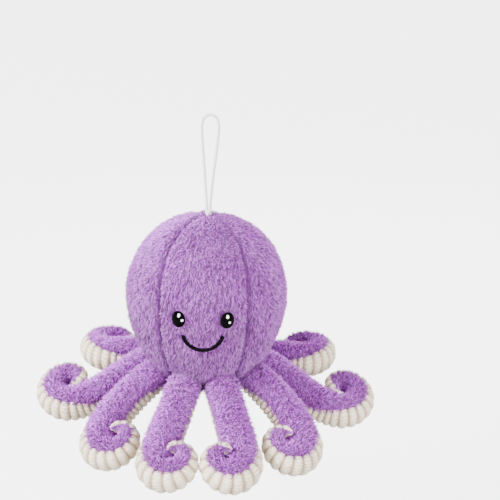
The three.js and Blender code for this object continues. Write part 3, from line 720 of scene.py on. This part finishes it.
def tentacle_stations(pair, count):
    """Even stations along a tentacle, with a half-ball of five more behind the root and past the tip:
    centre, direction, share of the length, the way the plush side faces, the seam side and the skin's
    radius. The facing turns from up at the root to the curl's normal, then rolls."""
    line, normal, _ = tentacle_line(pair)
    distance = run_along(line)
    share = np.linspace(0, 1, count)
    total, step = distance[-1], 0.7 * MM
    along = unit(read_at(np.minimum(share * total + step, total), distance, line)
                 - read_at(np.maximum(share * total - step, 0), distance, line))
    settled = np.minimum(share / SETTLE_SHARE, 1)[:, None]
    facing = (bearing_direction(pair["leave"]) + (0, 0, 1)) * (1 - settled) + normal * settled
    facing = unit(facing - along * np.einsum("ij,ij->i", facing, along)[:, None])
    outer = np.cross(facing, along) * (1 if pair["inward"] else -1)
    rolled = np.clip((share - ROLL_START) / (ROLL_END - ROLL_START), 0, 1)
    roll = (math.radians(CURL_ROLL_DEGREES) * rolled ** 2 * (3 - 2 * rolled))[:, None]
    centre = read_at(share * total, distance, line)
    radius = (TENTACLE_RADIUS + TENTACLE_SWELL * np.sin(math.pi * share) ** 2
              - (TENTACLE_RADIUS - TIP_RADIUS) * share ** TAPER_EXPONENT)
    turns = np.radians([6, 20, 36, 52, 70])
    sine, cosine = np.sin(turns), np.cos(turns)[:, None]
    back = centre[0] - along[0] * radius[0] * cosine
    ahead = centre[-1] + along[-1] * radius[-1] * cosine[::-1]

    def repeated(values):
        return np.concatenate([values[:1]] * len(turns) + [values] + [values[-1:]] * len(turns))
    return dict(total=total, share=repeated(share), along=repeated(along),
                centre=np.concatenate([back, centre, ahead]),
                radius=np.concatenate([radius[0] * sine, radius, radius[-1] * sine[::-1]]),
                facing=repeated(facing * np.cos(roll) - outer * np.sin(roll)),
                side=repeated(outer * np.cos(roll) + facing * np.sin(roll)))


def tentacle_sheet(stations, angles, radius):
    """A grid of points round the stations: centre plus radius times (facing cos a + side sin a)."""
    ring = (stations["facing"][:, None, :] * np.cos(angles)[..., None]
            + stations["side"][:, None, :] * np.sin(angles)[..., None])
    return stations["centre"][:, None, :] + ring * radius[..., None]


def nearness_to_roots(points):
    """Distance from each point to the nearest tentacle's skin near its root, which is a tube round every
    third point of the line's first stretch; negative inside it."""
    flat = points.reshape(-1, 3)
    nearest = np.full(len(flat), 1.0)
    for pair in PAIRS.values():
        for mirror in MIRRORS.values():
            line = tentacle_line(pair)[0][:110:3] * (mirror, 1, 1)
            for start, end in zip(line[:-1], line[1:]):
                along = end - start
                t = np.clip((flat - start) @ along / (along @ along), 0, 1)[:, None]
                nearest = np.minimum(nearest, np.linalg.norm(flat - start - t * along, axis=1))
    return (nearest - TENTACLE_RADIUS).reshape(points.shape[:-1])


def outside_head(points):
    """Distance from the head's cloth out to a point, level with it; negative inside, where no pile
    is needed."""
    level = points[..., 2] - WIDEST
    depth = np.clip(-level / TAPER_DEPTH, 0, 1)
    skin = HEAD_RADIUS * (1 - depth ** TAPER_POWER) ** (1 / TAPER_POWER) - 1.5 * MM
    outside = np.hypot(points[..., 0], points[..., 1]) - skin
    return np.where(level > -HEAD_DEPTH, outside, np.maximum(outside, 2 * MM))


# The cord's lines

def smooth_route(points, steps):
    """A smooth curve through the points, with even steps between each two. Its slope at a point is half
    the way from the point before to the point after, and each span is the cubic with those slopes."""
    padded = np.concatenate([2 * points[:1] - points[1:2], points, 2 * points[-1:] - points[-2:-1]])
    t = np.linspace(0, 1, steps, endpoint=False)[None, :, None]
    a, b, c, d = (padded[k:len(padded) - 3 + k, None, :] for k in range(4))
    spans = 0.5 * (2 * b + (c - a) * t + (2 * a - 5 * b + 4 * c - d) * t ** 2
                   + (3 * b - a - 3 * c + d) * t ** 3)
    return np.concatenate([spans.reshape(-1, 3), points[-1:]])


def twisted(path, up, radius):
    """A rope of plies along a path: radius times (0.9 + 0.13 |cos|) of the angle less the twist."""
    along = unit(np.gradient(path, axis=0))
    side = unit(np.cross(along, up))
    twist = around(CORD_SIDES)[None, :] - FULL_TURN * run_along(path)[:, None] / CORD_LAY
    wave = np.abs(np.cos(CORD_PLIES / 2 * twist))
    rings = tube_rings(path, side, np.cross(side, along), radius * (0.9 + 0.13 * wave), CORD_SIDES)
    # The same wave is the rope's painted shade, low and dark in the grooves between plies
    return capped_rings(rings, wave)


# Operators

class OCTOPUS_OT_cord(bpy.types.Operator):
    """Builds the hanging loop of twisted cord, its knot and its two ends"""
    bl_idname = "octopus.cord"
    bl_label = "Cord Loop"

    def execute(self, context):
        sizes, colours = context.scene.octopus_sizes, context.scene.octopus_colours
        white = yarn_material("white_cord", colours.cord, 0.1)
        radius = sizes.cord_diameter / 2
        path = smooth_route(stacked(LOOP_ROUTE[:, 0], 0, LOOP_ROUTE[:, 1]), 14)
        loop = new_piece("cord_loop", twisted(path, BACKWARDS, radius), white, "white_cord")
        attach(loop, "loop")
        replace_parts(loop, "hang_loop")
        knot = new_piece("cord_knot", apart(self.knot(radius)), white, "white_cord")
        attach(knot, "knot")
        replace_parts(knot, "loop_knot")
        tails = new_piece("cord_ends", apart(self.ends(radius)), white, "white_cord")
        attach(tails, "tails")
        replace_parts(tails, "loop_tails")
        return {"FINISHED"}

    def knot(self, radius):
        """Three strands: the knot's own closed one with its three lobes, whose x is sin t + 2 sin 2t, y
        cos t - 2 cos 2t and z minus sin 3t, each times its size, and the two that leave its top."""
        turn = np.linspace(0, FULL_TURN, 90)
        lobes = stacked((np.sin(turn) + 2 * np.sin(2 * turn)) * 0.42,
                        (np.cos(turn) - 2 * np.cos(2 * turn)) * 0.36,
                        -np.sin(3 * turn) * 0.9) * MM + KNOT_CENTRE
        strands = [twisted(lobes, unit(lobes - KNOT_CENTRE + (0, 0, 0.3 * MM)), radius)]
        for x in (-STRAND_PLACE, STRAND_PLACE):
            strand = np.linspace([x * 0.6, 0, KNOT_CENTRE[2] + 0.2 * MM],
                                 [x, 0, KNOT_CENTRE[2] + 2.4 * MM], 12)
            strands.append(twisted(strand, BACKWARDS, radius))
        return strands

    def ends(self, radius):
        """The two cut ends under the knot: straight strands side by side, as high as packed."""
        low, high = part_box("loop_tails")
        return [twisted(np.linspace([x, 0, high.z], [x * 1.02, 0, low.z], 16), BACKWARDS, radius)
                for x in (-radius, radius)]


class OCTOPUS_OT_head(bpy.types.Operator):
    """Builds the six gores of the head with their pile, and the round patch under it"""
    bl_idname = "octopus.head"
    bl_label = "Head"

    def execute(self, context):
        sizes, colours = context.scene.octopus_sizes, context.scene.octopus_colours
        plush = plush_material("head_plush", colours.plush, (1, 1, 0.28))
        for number, panel in enumerate(PANELS):
            gore = self.gore(number, panel, plush, sizes)
            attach(gore, "head")
            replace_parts(gore, f"head_panel_{panel}")
        patch = self.base_patch(plush, sizes)
        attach(patch, "head")
        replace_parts(patch, "base_panel")
        return {"FINISHED"}

    def gore(self, number, panel, plush, sizes):
        """A gore between two seams, on a grid whose columns crowd beside them. Its cloth lies under the
        head's surface: deeper by a bell curve at a seam, which fades out at the crown, and where a
        tentacle joins, and with a slow unevenness. The pile is combed down from the crown and sways to
        the sides. In the seams and where a tentacle joins it is shorter, and painted darker as shade."""
        rng = np.random.default_rng(GORE_SEED + number)
        rows, columns = GORE_GRID
        top, bottom = angle_at_radius(CROWN_HOLE), float(angle_at_drop(HEAD_DEPTH))
        angle = np.linspace(top, bottom, rows)[:, None]
        even = np.linspace(0, 1, columns)
        share = (0.45 * even + 0.55 * (0.5 - 0.5 * np.cos(math.pi * even)))[None, :]
        start, end = seam_bearing(number, angle), seam_bearing(number + 1, angle)
        radius = head_profile(angle)[0]
        from_seam = np.minimum(share, 1 - share) * ((end - start) * radius)
        gap = SEAM_GAP / np.maximum(radius, CROWN_HOLE)
        bearing = np.clip(start + (end - start) * share, start + gap, end - gap)
        surface = head_point(angle, bearing, 0)
        near = nearness_to_roots(surface)
        groove = bell(from_seam, SEAM_HALF_WIDTH)
        inset = (sizes.cloth_depth + MM * (2 * share - 1) ** 4 * np.sin(angle)
                 + sizes.seam_depth * groove * np.minimum(np.sin(angle) / 0.3, 1)
                 + ROOT_FOLD_DEPTH * bell(near, ROOT_FOLD_WIDTH)
                 - 0.35 * MM * wander(surface, 34 * MM, seed=7)
                 - 0.12 * MM * wander(surface, 9 * MM, seed=8))
        outer = head_point(angle, bearing, inset)
        inner = head_point(angle, bearing, inset + sizes.cloth_thickness)
        kept = np.maximum.reduce(corners(near)) > -CLOTH_INTO_ROOT
        cloth, normals = cloth_shell(outer, inner, (0, 0, WIDEST), kept)
        allowed = self.clear_of_roots(near) * (1 - 0.8 * bell(from_seam, 0.8 * MM))
        # Tufts are shorter, and painted darker as shade, in the seam grooves and in the creases where a
        # tentacle joins
        tall = bright = (1 - 0.7 * groove) * (1 - 0.6 * bell(near, ROOT_FOLD_WIDTH))
        if panel == "front":
            allowed, tall = self.clear_of_face(outer, allowed, tall)
        down = unit(np.gradient(outer, axis=0))
        across = np.cross(normals, down)
        sway = 0.5 * wander(outer, 16 * MM, seed=21) + 0.3 * wander(outer * (1, 1, 0.4), 4 * MM, seed=22)
        combed = 1.25 + 0.35 * wander(outer * (1, 1, 0.3), 5 * MM, seed=23)
        nap = unit(down + across * sway[..., None]) * combed[..., None]
        run = np.cumsum(np.linalg.norm(np.gradient(outer, axis=0), axis=-1), axis=0)
        flow = np.stack([bearing * HEAD_RADIUS, 0.25 * run], -1)
        brushed = (sizes.pile_density, sizes.pile_length, sizes.pile_width, 0.2)
        tufts = pile(outer, normals, nap, tall, bright, flow, allowed, brushed, rng)
        return new_piece(f"head_gore_{panel}", [cloth, tufts], plush, "head_plush")

    def base_patch(self, plush, sizes):
        """Round patch of plush that closes the head between the tentacle roots: it sags by 1 less the
        square of its radius's share of the rim's, and rises where a tentacle joins."""
        rng = np.random.default_rng(PATCH_SEED)
        rim = float(head_profile(angle_at_drop(HEAD_DEPTH))[0])
        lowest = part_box("base_panel")[0].z
        radius = np.linspace(PATCH_EDGE, rim - PATCH_EDGE, PATCH_GRID[0])[:, None]
        turn = np.linspace(0, FULL_TURN, PATCH_GRID[1])[None, :]
        sag = PATCH_SAG * (1 - (radius / rim) ** 2)
        outer = stacked(radius * np.sin(turn), radius * np.cos(turn), lowest + PATCH_LIFT - sag)
        near = nearness_to_roots(outer)
        outer[..., 2] += PATCH_RISE * bell(near, PATCH_RISE_WIDTH)
        kept = np.maximum.reduce(corners(near)) > -CLOTH_INTO_ROOT
        cloth, normals = cloth_shell(outer, outer + (0, 0, sizes.cloth_thickness), (0, 0, WIDEST), kept)
        nap = unit(np.gradient(outer, axis=0)) * 0.9
        allowed = self.clear_of_roots(near)
        shaggy = (sizes.arm_pile_density, sizes.arm_pile_length, sizes.arm_pile_width, 0.3)
        # Near a tentacle's root the tufts are shorter and painted darker as shade
        tufts = pile(outer, normals, nap, allowed, allowed, outer[..., :2], allowed, shaggy, rng)
        return new_piece("base_patch", [cloth, tufts], plush, "head_plush")

    def clear_of_roots(self, near):
        """Allows pile from 0.3 mm off a tentacle's skin, and wholly 0.8 mm further on."""
        return np.clip((near - 0.3 * MM) / (0.8 * MM), 0, 1)

    def clear_of_face(self, outer, allowed, tall):
        """Keeps pile off the eyes and the smile, and shortens it close round them."""
        for mirror in MIRRORS.values():
            place, (side, upright, _) = eye_frame(mirror)
            flat = outer - place
            oval = np.hypot(flat @ side / EYE_WIDTH, flat @ upright / EYE_HEIGHT) * 2
            allowed = allowed * (oval > BARE_ROUND_EYE)
            tall = tall * (1 - 0.7 * bell(oval - BARE_ROUND_EYE, 0.25))
        smile = smile_arc(80, 0.5 * MM)
        to_smile = np.linalg.norm(outer[:, :, None, :] - smile, axis=-1).min(-1)
        allowed = allowed * (to_smile > BARE_ROUND_SMILE)
        return allowed, tall * (1 - 0.6 * bell(to_smile - BARE_ROUND_SMILE, 1.2 * MM))


class OCTOPUS_OT_stuffing(bpy.types.Operator):
    """Builds the stuffing of the head, with a hollow for the knot and dents for the eye washers"""
    bl_idname = "octopus.stuffing"
    bl_label = "Head Stuffing"

    def execute(self, context):
        sizes, colours = context.scene.octopus_sizes, context.scene.octopus_colours
        fibre = fibre_material("fibre_stuffing", colours.fibre)
        stuffing = new_piece("head_stuffing", capped_rings(self.rings(sizes)), fibre, "fibre_filling")
        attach(stuffing, "head")
        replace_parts(stuffing, "head_filling")
        return {"FINISHED"}

    def rings(self, sizes):
        """Rings from the half-ball hollow under the knot, over the body and down the round neck. The
        body is the head's surface at an uneven inset, which grows at each washer by the exponential of
        minus the fourth power of the distance over the dent's radius."""
        turn = around(STUFFING_GRID[1])[None, :]
        shoulder = ROOT_LEVEL + NECK_HEIGHT
        angle = np.linspace(angle_at_radius(KNOT_HOLLOW), math.pi, STUFFING_GRID[0])[:, None]
        angle = angle[head_profile(angle)[1] > shoulder][:, None]
        surface = head_point(angle, turn, 0)
        inset = (sizes.cloth_depth + sizes.seam_depth + sizes.cloth_thickness + FILLING_GAP
                 - 0.3 * MM * wander(surface, 12 * MM, seed=31))
        for mirror in MIRRORS.values():
            to_eye = np.linalg.norm(surface - eye_frame(mirror)[0], axis=-1)
            inset = inset + WASHER_DENT * np.exp(-(to_eye / WASHER_DENT_RADIUS) ** 4)
        body = head_point(angle, turn, inset)
        step = np.linspace(0.08, 1, 10)[:-1, None]
        bowl = np.minimum(KNOT_CENTRE[2] - KNOT_HOLLOW * np.sqrt(1 - step ** 2),
                          body[0, :, 2].max() - HOLLOW_MARGIN)
        hollow = stacked(step * KNOT_HOLLOW * np.sin(turn), -step * KNOT_HOLLOW * np.cos(turn), bowl)
        levels = np.linspace(shoulder - 0.6 * MM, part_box("head_filling")[0].z, 8)[:, None]
        neck = stacked(NECK_RADIUS * np.sin(turn), -NECK_RADIUS * np.cos(turn), levels)
        return np.concatenate([hollow, body, neck])


class OCTOPUS_OT_face(bpy.types.Operator):
    """Builds the glossy eyes with their painted highlights, finishes the washers and sews the smile"""
    bl_idname = "octopus.face"
    bl_label = "Face"

    def execute(self, context):
        sizes, colours = context.scene.octopus_sizes, context.scene.octopus_colours
        gloss = gloss_material("gloss_black_eye", colours.eye)
        paint = moulded_material("painted_glint", colours.glint, 0.35)
        plastic = moulded_material("washer_plastic", colours.washer, 0.5)
        for name, mirror in MIRRORS.items():
            eye = self.eye(name, mirror, gloss)
            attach(eye, "head")
            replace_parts(eye, f"eye_{name}")
            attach(self.glints(name, mirror, paint), "head")
            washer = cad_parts[f"eye_washer_{name}"]
            washer.data.materials.clear()
            washer.data.materials.append(plastic)
        smile = self.smile(sizes.smile_thread / 2, yarn_material("black_thread", colours.thread, 0.004))
        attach(smile, "head")
        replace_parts(smile, "smile")
        return {"FINISHED"}

    def bulge(self, sine):
        """How far an eye stands out of the head where its half width is the cosine of an angle, for
        that angle's sine: the full bulge times a power of the sine, plus its distance off the cloth."""
        return EYE_BULGE * sine ** EYE_FULLNESS + EYE_STANDOFF

    def eye(self, name, mirror, gloss):
        """A stem, a flat back with a rounded rim, and an oval ball cap: half width and half height times
        cos u, and the bulge of sin u."""
        place, axes = eye_frame(mirror)
        turn = around(EYE_SIDES)
        x, y = np.cos(turn), np.sin(turn)
        rings = [stacked(EYE_STEM * share * x, EYE_STEM * share * y, level * MM)
                 for share, level in ((0.2, -4.4), (0.9, -4.4), (1, -4.3), (1, -0.3))]
        u = np.linspace(0.02, math.pi / 2 - 0.05, 26)
        rim = [(0.9, -0.15 * MM), (0.975, 0.02 * MM)]
        rings += [stacked(EYE_WIDTH / 2 * share * x, EYE_HEIGHT / 2 * share * y, level)
                  for share, level in (*rim, *zip(np.cos(u), self.bulge(np.sin(u))))]
        return new_piece(f"glossy_eye_{name}", capped_rings(place + np.array(rings) @ axes), gloss,
                         "gloss_black_eye")

    def glints(self, name, mirror, paint):
        """Two painted dots on an eye: thin oval patches that follow the dome. Each row of the table is
        a dot's place across and up, its width and its height, in millimetres."""
        place, axes = eye_frame(mirror)
        dots = []
        for across, up, width, height in ((0.27, 2.9, 1.4, 2.0), (1.8, -0.2, 1.2, 1.4)):
            share, turn = np.linspace(0.05, 1, 7)[:, None], around(GLINT_SIDES)[None, :]
            x = (across - mirror * 1.15 + width / 2 * share * np.cos(turn)) * MM
            y = (up + height / 2 * share * np.sin(turn)) * MM
            spot = np.hypot(x / (EYE_WIDTH / 2), y / (EYE_HEIGHT / 2))
            surface = self.bulge(np.sqrt(np.maximum(1 - spot ** 2, 0)))
            top = stacked(x, y, surface + 0.09 * MM * np.sqrt(1.02 - share ** 4))
            under = stacked(x, y, surface - 0.12 * MM)
            dots.append(capped_rings(place + np.concatenate([top, under[::-1]]) @ axes))
        return new_piece(f"eye_glints_{name}", apart(dots), paint, "gloss_black_eye")

    def smile(self, radius, thread):
        """The smile: overlapping stitches along the arc, each a plump twisted lozenge that rises from
        one end to the other. Its radius swells as the root of 1 less a power of the distance."""
        arc = smile_arc(400, 0.45 * MM)
        out = unit(smile_arc(400, -MM) - arc)
        run = run_along(arc)
        pitch = run[-1] / SMILE_STITCHES
        t = np.linspace(-1, 1, 22)
        wave = np.abs(np.cos(1.5 * (around(STITCH_SIDES)[None, :] - t[:, None] * 2.2)))
        plump = np.sqrt(np.maximum(1 - np.abs(t) ** 3.2, 0.004))[:, None]
        stitches = []
        for number in range(SMILE_STITCHES):
            where = np.linspace(number * pitch - STITCH_OVERLAP * pitch,
                                (number + 1) * pitch + STITCH_OVERLAP * pitch, len(t))
            lift = read_at(where, run, out)
            path = read_at(where, run, arc) + lift * (0.25 * MM * t)[:, None]
            along = unit(np.gradient(path, axis=0))
            side = unit(np.cross(along, lift))
            rings = tube_rings(path, side, np.cross(side, along), radius * plump * (0.9 + 0.1 * wave),
                               STITCH_SIDES)
            # The wave is also the painted shade, darker between the twists of a stitch
            stitches.append(capped_rings(rings, wave))
        return new_piece("smile_stitches", apart(stitches), thread, "black_thread")


class OCTOPUS_OT_tentacles(bpy.types.Operator):
    """Builds the eight tentacles: a plush top, a ribbed chenille sole and a stuffed core of each"""
    bl_idname = "octopus.tentacles"
    bl_label = "Tentacles"

    def execute(self, context):
        sizes, colours = context.scene.octopus_sizes, context.scene.octopus_colours
        plush = plush_material("tentacle_plush", colours.arm_plush, (1, 1, 1))
        chenille = chenille_material("cream_chenille", colours.chenille)
        fibre = fibre_material("tentacle_stuffing", colours.fibre)
        for order, (name, pair) in enumerate(PAIRS.items()):
            line, _, leaving = tentacle_line(pair)
            for side_name, mirror in MIRRORS.items():
                rng = np.random.default_rng(TENTACLE_SEED + 10 * order + mirror)
                body = f"tentacle_{name}_{side_name}"
                pieces = [self.top(body, pair, mirror, plush, sizes, rng),
                          self.sole(body, pair, mirror, chenille, sizes, rng),
                          self.core(body, pair, mirror, fibre, sizes)]
                for piece in pieces:
                    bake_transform(piece)
        return {"FINISHED"}

    def top(self, body, pair, mirror, plush, sizes, rng):
        """The plush half of the whole: half a ring round each station, drawn in at its two seams. It is
        fuller near the root, and its pile is combed along and out to the seams, where it is painted
        darker as the shade of the round arm. Close to the head its pile is shorter and painted darker as
        shade in the crease."""
        stations = tentacle_stations(pair, TOP_GRID[0])
        even = np.linspace(-1, 1, TOP_GRID[1])
        share, whole = stations["share"][:, None], stations["radius"][:, None]
        angles = (math.pi / 2 + self.tuck(share)) * even[None, :]
        from_seam = (1 - np.abs(even)) * math.pi / 2 * whole
        snug = 0.9 * np.clip(1 - share / 0.45, 0, 1) - 0.4
        radius = whole + MM * snug - SEAM_DRAW * bell(from_seam, 1.4 * MM) * np.minimum(
            whole / TENTACLE_RADIUS, 1)
        uneven = 0.16 * MM * wander(tentacle_sheet(stations, angles, radius), 11 * MM, seed=41)
        radius = np.maximum(radius + uneven, THINNEST_SKIN)
        outer, cloth, normals = self.skin(stations, angles, radius, radius - sizes.cloth_thickness)
        outside = outside_head(outer)
        # Painted shade: the pile is darker in the crease by the head and beside the seams
        near = 1 - 0.65 * bell(outside, ROOT_FOLD_WIDTH)
        bright = near * (1 - 0.45 * bell(from_seam, SEAM_SHADOW_WIDTH))
        around_it = (stations["side"][:, None, :] * np.cos(angles)[..., None]
                     - stations["facing"][:, None, :] * np.sin(angles)[..., None])
        combed = 0.9 * np.sin(angles) + 0.35 * wander(outer, 5 * MM, seed=43)
        lengthways = 0.45 + 0.3 * wander(outer, 6 * MM, seed=42)
        nap = stations["along"][:, None, :] * lengthways[..., None] + around_it * combed[..., None]
        slender = np.clip(whole / (0.7 * TENTACLE_RADIUS), 0.55, 1)
        flow = np.stack([0.4 * angles * radius, share * stations["total"] + 0 * radius], -1)
        bare_tip = np.clip((share - 0.93) / 0.05, 0, 1) * (np.abs(angles) > 0.75)
        shaggy = (sizes.arm_pile_density, sizes.arm_pile_length, sizes.arm_pile_width, 0.35)
        tufts = pile(outer, normals, nap, slender * near, bright, flow, (outside > 0) * (1 - bare_tip),
                     shaggy, rng)
        piece = new_piece(f"{body}_plush", [cloth, tufts], plush, "tentacle_plush", mirror)
        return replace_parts(piece, f"{body}_top")

    def sole(self, body, pair, mirror, chenille, sizes, rng):
        """The ribbed half of the whole. Along the tentacle a rib is half an oval between two valleys;
        round it, a rib fades with a rounded end just past each seam, over fine knitted bumps. At the
        tip the sole wraps further round."""
        stations = tentacle_stations(pair, SOLE_GRID[0])
        even = np.linspace(-1, 1, SOLE_GRID[1])[None, :]
        share, whole = stations["share"][:, None], stations["radius"][:, None]
        wrapped = np.clip((share - 0.925) / 0.07, 0, 1)
        reach = np.radians(SOLE_DEGREES + TIP_WRAP_DEGREES * wrapped) - self.tuck(share)
        angles = math.pi + reach * even
        ribs = round(stations["total"] / RIB_PITCH)
        phase = share * ribs
        ribbed = (phase > 0) & (phase < ribs)
        within = phase - np.floor(phase)
        rib = np.sqrt(np.maximum(4 * within * (1 - within), 0)) * ribbed
        end = np.sqrt(np.maximum(1 - np.abs(even) ** 7, 0))
        knit = FULL_TURN * (angles * whole) / KNIT_PITCH + math.pi * np.floor(phase)
        stitch = np.cos(knit) * np.sqrt(rib)
        slender = np.minimum(whole / TENTACLE_RADIUS, 1)
        lifted = (sizes.rib_height * rib * end - 0.9 * MM * (1 - rib) * even ** 6) * slender
        radius = whole - SOLE_INSET + lifted - 0.6 * MM * (1 - end) + (
            KNIT_HEIGHT * stitch * end * slender) + 0.9 * MM * wrapped * even ** 2
        radius = np.maximum(radius, THINNEST_SKIN)
        lining = whole - SOLE_INSET - sizes.cloth_thickness - 1.2 * MM * even ** 6
        outer, cloth, normals = self.skin(stations, angles, radius, lining)
        # Painted shade: low and dark in the valleys, between knit stitches and at the rounded rib ends
        ridge = 0.08 + 0.92 * rib ** 1.5 * end - 0.2 * (1 - stitch) * end
        ridge = np.where(ribbed, np.clip(ridge, 0, 1), 0.7)
        height = np.concatenate([ridge.ravel(), np.zeros(ridge.size)])
        allowed = (outside_head(outer) > 0) * np.sqrt(slender) * (0.25 + 0.75 * rib * end)
        nap = 0.4 * wander(outer, 4 * MM, seed=52)[..., None] * stations["along"][:, None, :]
        flow = np.stack([angles * radius, share * stations["total"] + 0 * radius], -1)
        full = np.ones(radius.shape)
        short = (sizes.fuzz_density, sizes.fuzz_length, FUZZ_WIDTH, 0.55)
        fuzz = pile(outer, normals, nap, full, full, flow, allowed, short, rng)
        piece = new_piece(f"{body}_chenille", [(*cloth[:3], height), fuzz], chenille, "cream_chenille",
                          mirror)
        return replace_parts(piece, f"{body}_sole")

    def core(self, body, pair, mirror, fibre, sizes):
        """The stuffing of a tentacle: rings inside its skin."""
        stations = tentacle_stations(pair, CORE_GRID[0])
        radius = np.maximum(stations["radius"] - sizes.cloth_thickness - CORE_GAP, THINNEST_CORE)
        rings = tube_rings(stations["centre"], stations["facing"], stations["side"], radius[:, None],
                           CORE_GRID[1])
        piece = new_piece(f"{body}_stuffing", capped_rings(rings), fibre, "fibre_filling", mirror)
        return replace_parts(piece, f"{body}_filling")

    def skin(self, stations, angles, radius, lining):
        """The outer grid of a half skin, its cloth and its outward normals."""
        outer = tentacle_sheet(stations, angles, radius)
        inner = tentacle_sheet(stations, angles, np.maximum(lining, THINNEST_LINING))
        return outer, *cloth_shell(outer, inner, stations["centre"][:, None])

    def tuck(self, share):
        """Angle by which the plush reaches round under a tentacle: it falls evenly from the root."""
        return math.radians(TUCK_DEGREES) * np.clip(1 - share / TUCK_SHARE, 0, 1)


class OCTOPUS_OT_stage(bpy.types.Operator):
    """Sets the pale floor, the soft studio light and the camera"""
    bl_idname = "octopus.stage"
    bl_label = "Stage"

    def execute(self, context):
        self.camera(context)
        self.floor(context.scene.octopus_colours.floor)
        for name, place, power, size in LAMPS:
            lamp = bpy.data.lights.new(name, "AREA")
            lamp.energy, lamp.size = power, size
            holder = bpy.data.objects.new(name, lamp)
            holder.visible_glossy = False
            holder.location = place
            aim = Vector(LAMP_TARGET) - Vector(place)
            holder.rotation_euler = aim.to_track_quat("-Z", "Y").to_euler()
            context.scene.collection.objects.link(holder)
        world = bpy.data.worlds.new("pale_studio")
        world.use_nodes = True
        background = world.node_tree.nodes["Background"].inputs
        background["Color"].default_value = (1, 1, 1, 1)
        background["Strength"].default_value = WORLD_GLOW
        context.scene.world = world
        return {"FINISHED"}

    def floor(self, colour):
        """A square floor that rises all round by half the square of the distance past its flat part."""
        material = moulded_material("pale_floor", colour, 0.9)
        glow = material.node_tree.nodes["Principled BSDF"].inputs
        glow["Emission Color"].default_value = (1, 1, 1, 1)
        glow["Emission Strength"].default_value = FLOOR_GLOW
        along = np.linspace(-FLOOR_HALF_SIDE, FLOOR_HALF_SIDE, FLOOR_SIDES)
        x, y = np.meshgrid(along, along)
        rise = np.maximum(np.hypot(x, y) - FLOOR_FLAT_RADIUS, 0) ** 2 * 0.5
        points = stacked(x, y, rise + FLOOR_LEVEL).reshape(-1, 3)
        quads = grid_faces(FLOOR_SIDES, FLOOR_SIDES)
        uv = (points[:, :2] / (2 * FLOOR_HALF_SIDE) + 0.5)[quads]
        floor = new_piece("pale_floor", [(points, quads, uv, np.ones(len(points)))], material)
        floor.visible_diffuse = floor.visible_shadow = False

    def camera(self, context):
        """Camera at the photographed angle: it stands on a ray from the head's centre, and is turned
        so that the centre falls where it should in a square image of 500 by 500."""
        azimuth, elevation, roll = (math.radians(a) for a in (2.3, 17.0, 1.0))
        distance, focal, image, sensor = 0.600, 972.0, 500.0, 36
        centre_px = (206.8, 293.1)
        middle = Vector((0, 0, WIDEST))
        ray = Vector((math.sin(azimuth) * math.cos(elevation), -math.cos(azimuth) * math.cos(elevation),
                      math.sin(elevation)))
        look = (-ray).to_track_quat("-Z", "Y").to_matrix()
        wanted = Vector((centre_px[0] - image / 2, image / 2 - centre_px[1], -focal)).normalized()
        turn = Vector((0, 0, -1)).rotation_difference(wanted).to_matrix()
        spin = Matrix.Rotation(-roll, 3, wanted)
        orientation = look @ turn.inverted() @ spin
        lens = bpy.data.cameras.new("camera")
        lens.sensor_width = sensor
        lens.lens = sensor * focal / image
        lens.clip_start = 0.01
        camera = bpy.data.objects.new("camera", lens)
        camera.matrix_world = Matrix.Translation(middle + ray * distance) @ orientation.to_4x4()
        context.scene.collection.objects.link(camera)
        context.scene.camera = camera


class OCTOPUS_PT_panel(bpy.types.Panel):
    """Shows the sizes and colours, and lists the operators that build the pieces"""
    bl_label = "Plush Octopus"
    bl_space_type = "VIEW_3D"
    bl_region_type = "UI"
    bl_category = "Plush Octopus"

    def draw(self, context):
        for group in (context.scene.octopus_sizes, context.scene.octopus_colours):
            box = self.layout.box()
            for key in group.bl_rna.properties.keys():
                if key not in ("rna_type", "name"):
                    box.prop(group, key)
        for operator in OPERATORS:
            self.layout.operator(operator.bl_idname)


OPERATORS = (OCTOPUS_OT_stage, OCTOPUS_OT_cord, OCTOPUS_OT_head, OCTOPUS_OT_stuffing, OCTOPUS_OT_face,
             OCTOPUS_OT_tentacles)
CLASSES = (OctopusSizes, OctopusColours, *OPERATORS, OCTOPUS_PT_panel)


def register():
    """Registers the classes and puts the sizes and colours on the scene."""
    for cls in CLASSES:
        bpy.utils.register_class(cls)
    bpy.types.Scene.octopus_sizes = bpy.props.PointerProperty(type=OctopusSizes)
    bpy.types.Scene.octopus_colours = bpy.props.PointerProperty(type=OctopusColours)


def unregister():
    """Takes the sizes, the colours and the classes away again."""
    del bpy.types.Scene.octopus_sizes
    del bpy.types.Scene.octopus_colours
    for cls in reversed(CLASSES):
        bpy.utils.unregister_class(cls)


def main():
    """Builds every piece in order."""
    register()
    bpy.ops.octopus.stage()
    bpy.ops.octopus.cord()
    bpy.ops.octopus.head()
    bpy.ops.octopus.stuffing()
    bpy.ops.octopus.face()
    bpy.ops.octopus.tentacles()


if __name__ == "__main__":
    main()
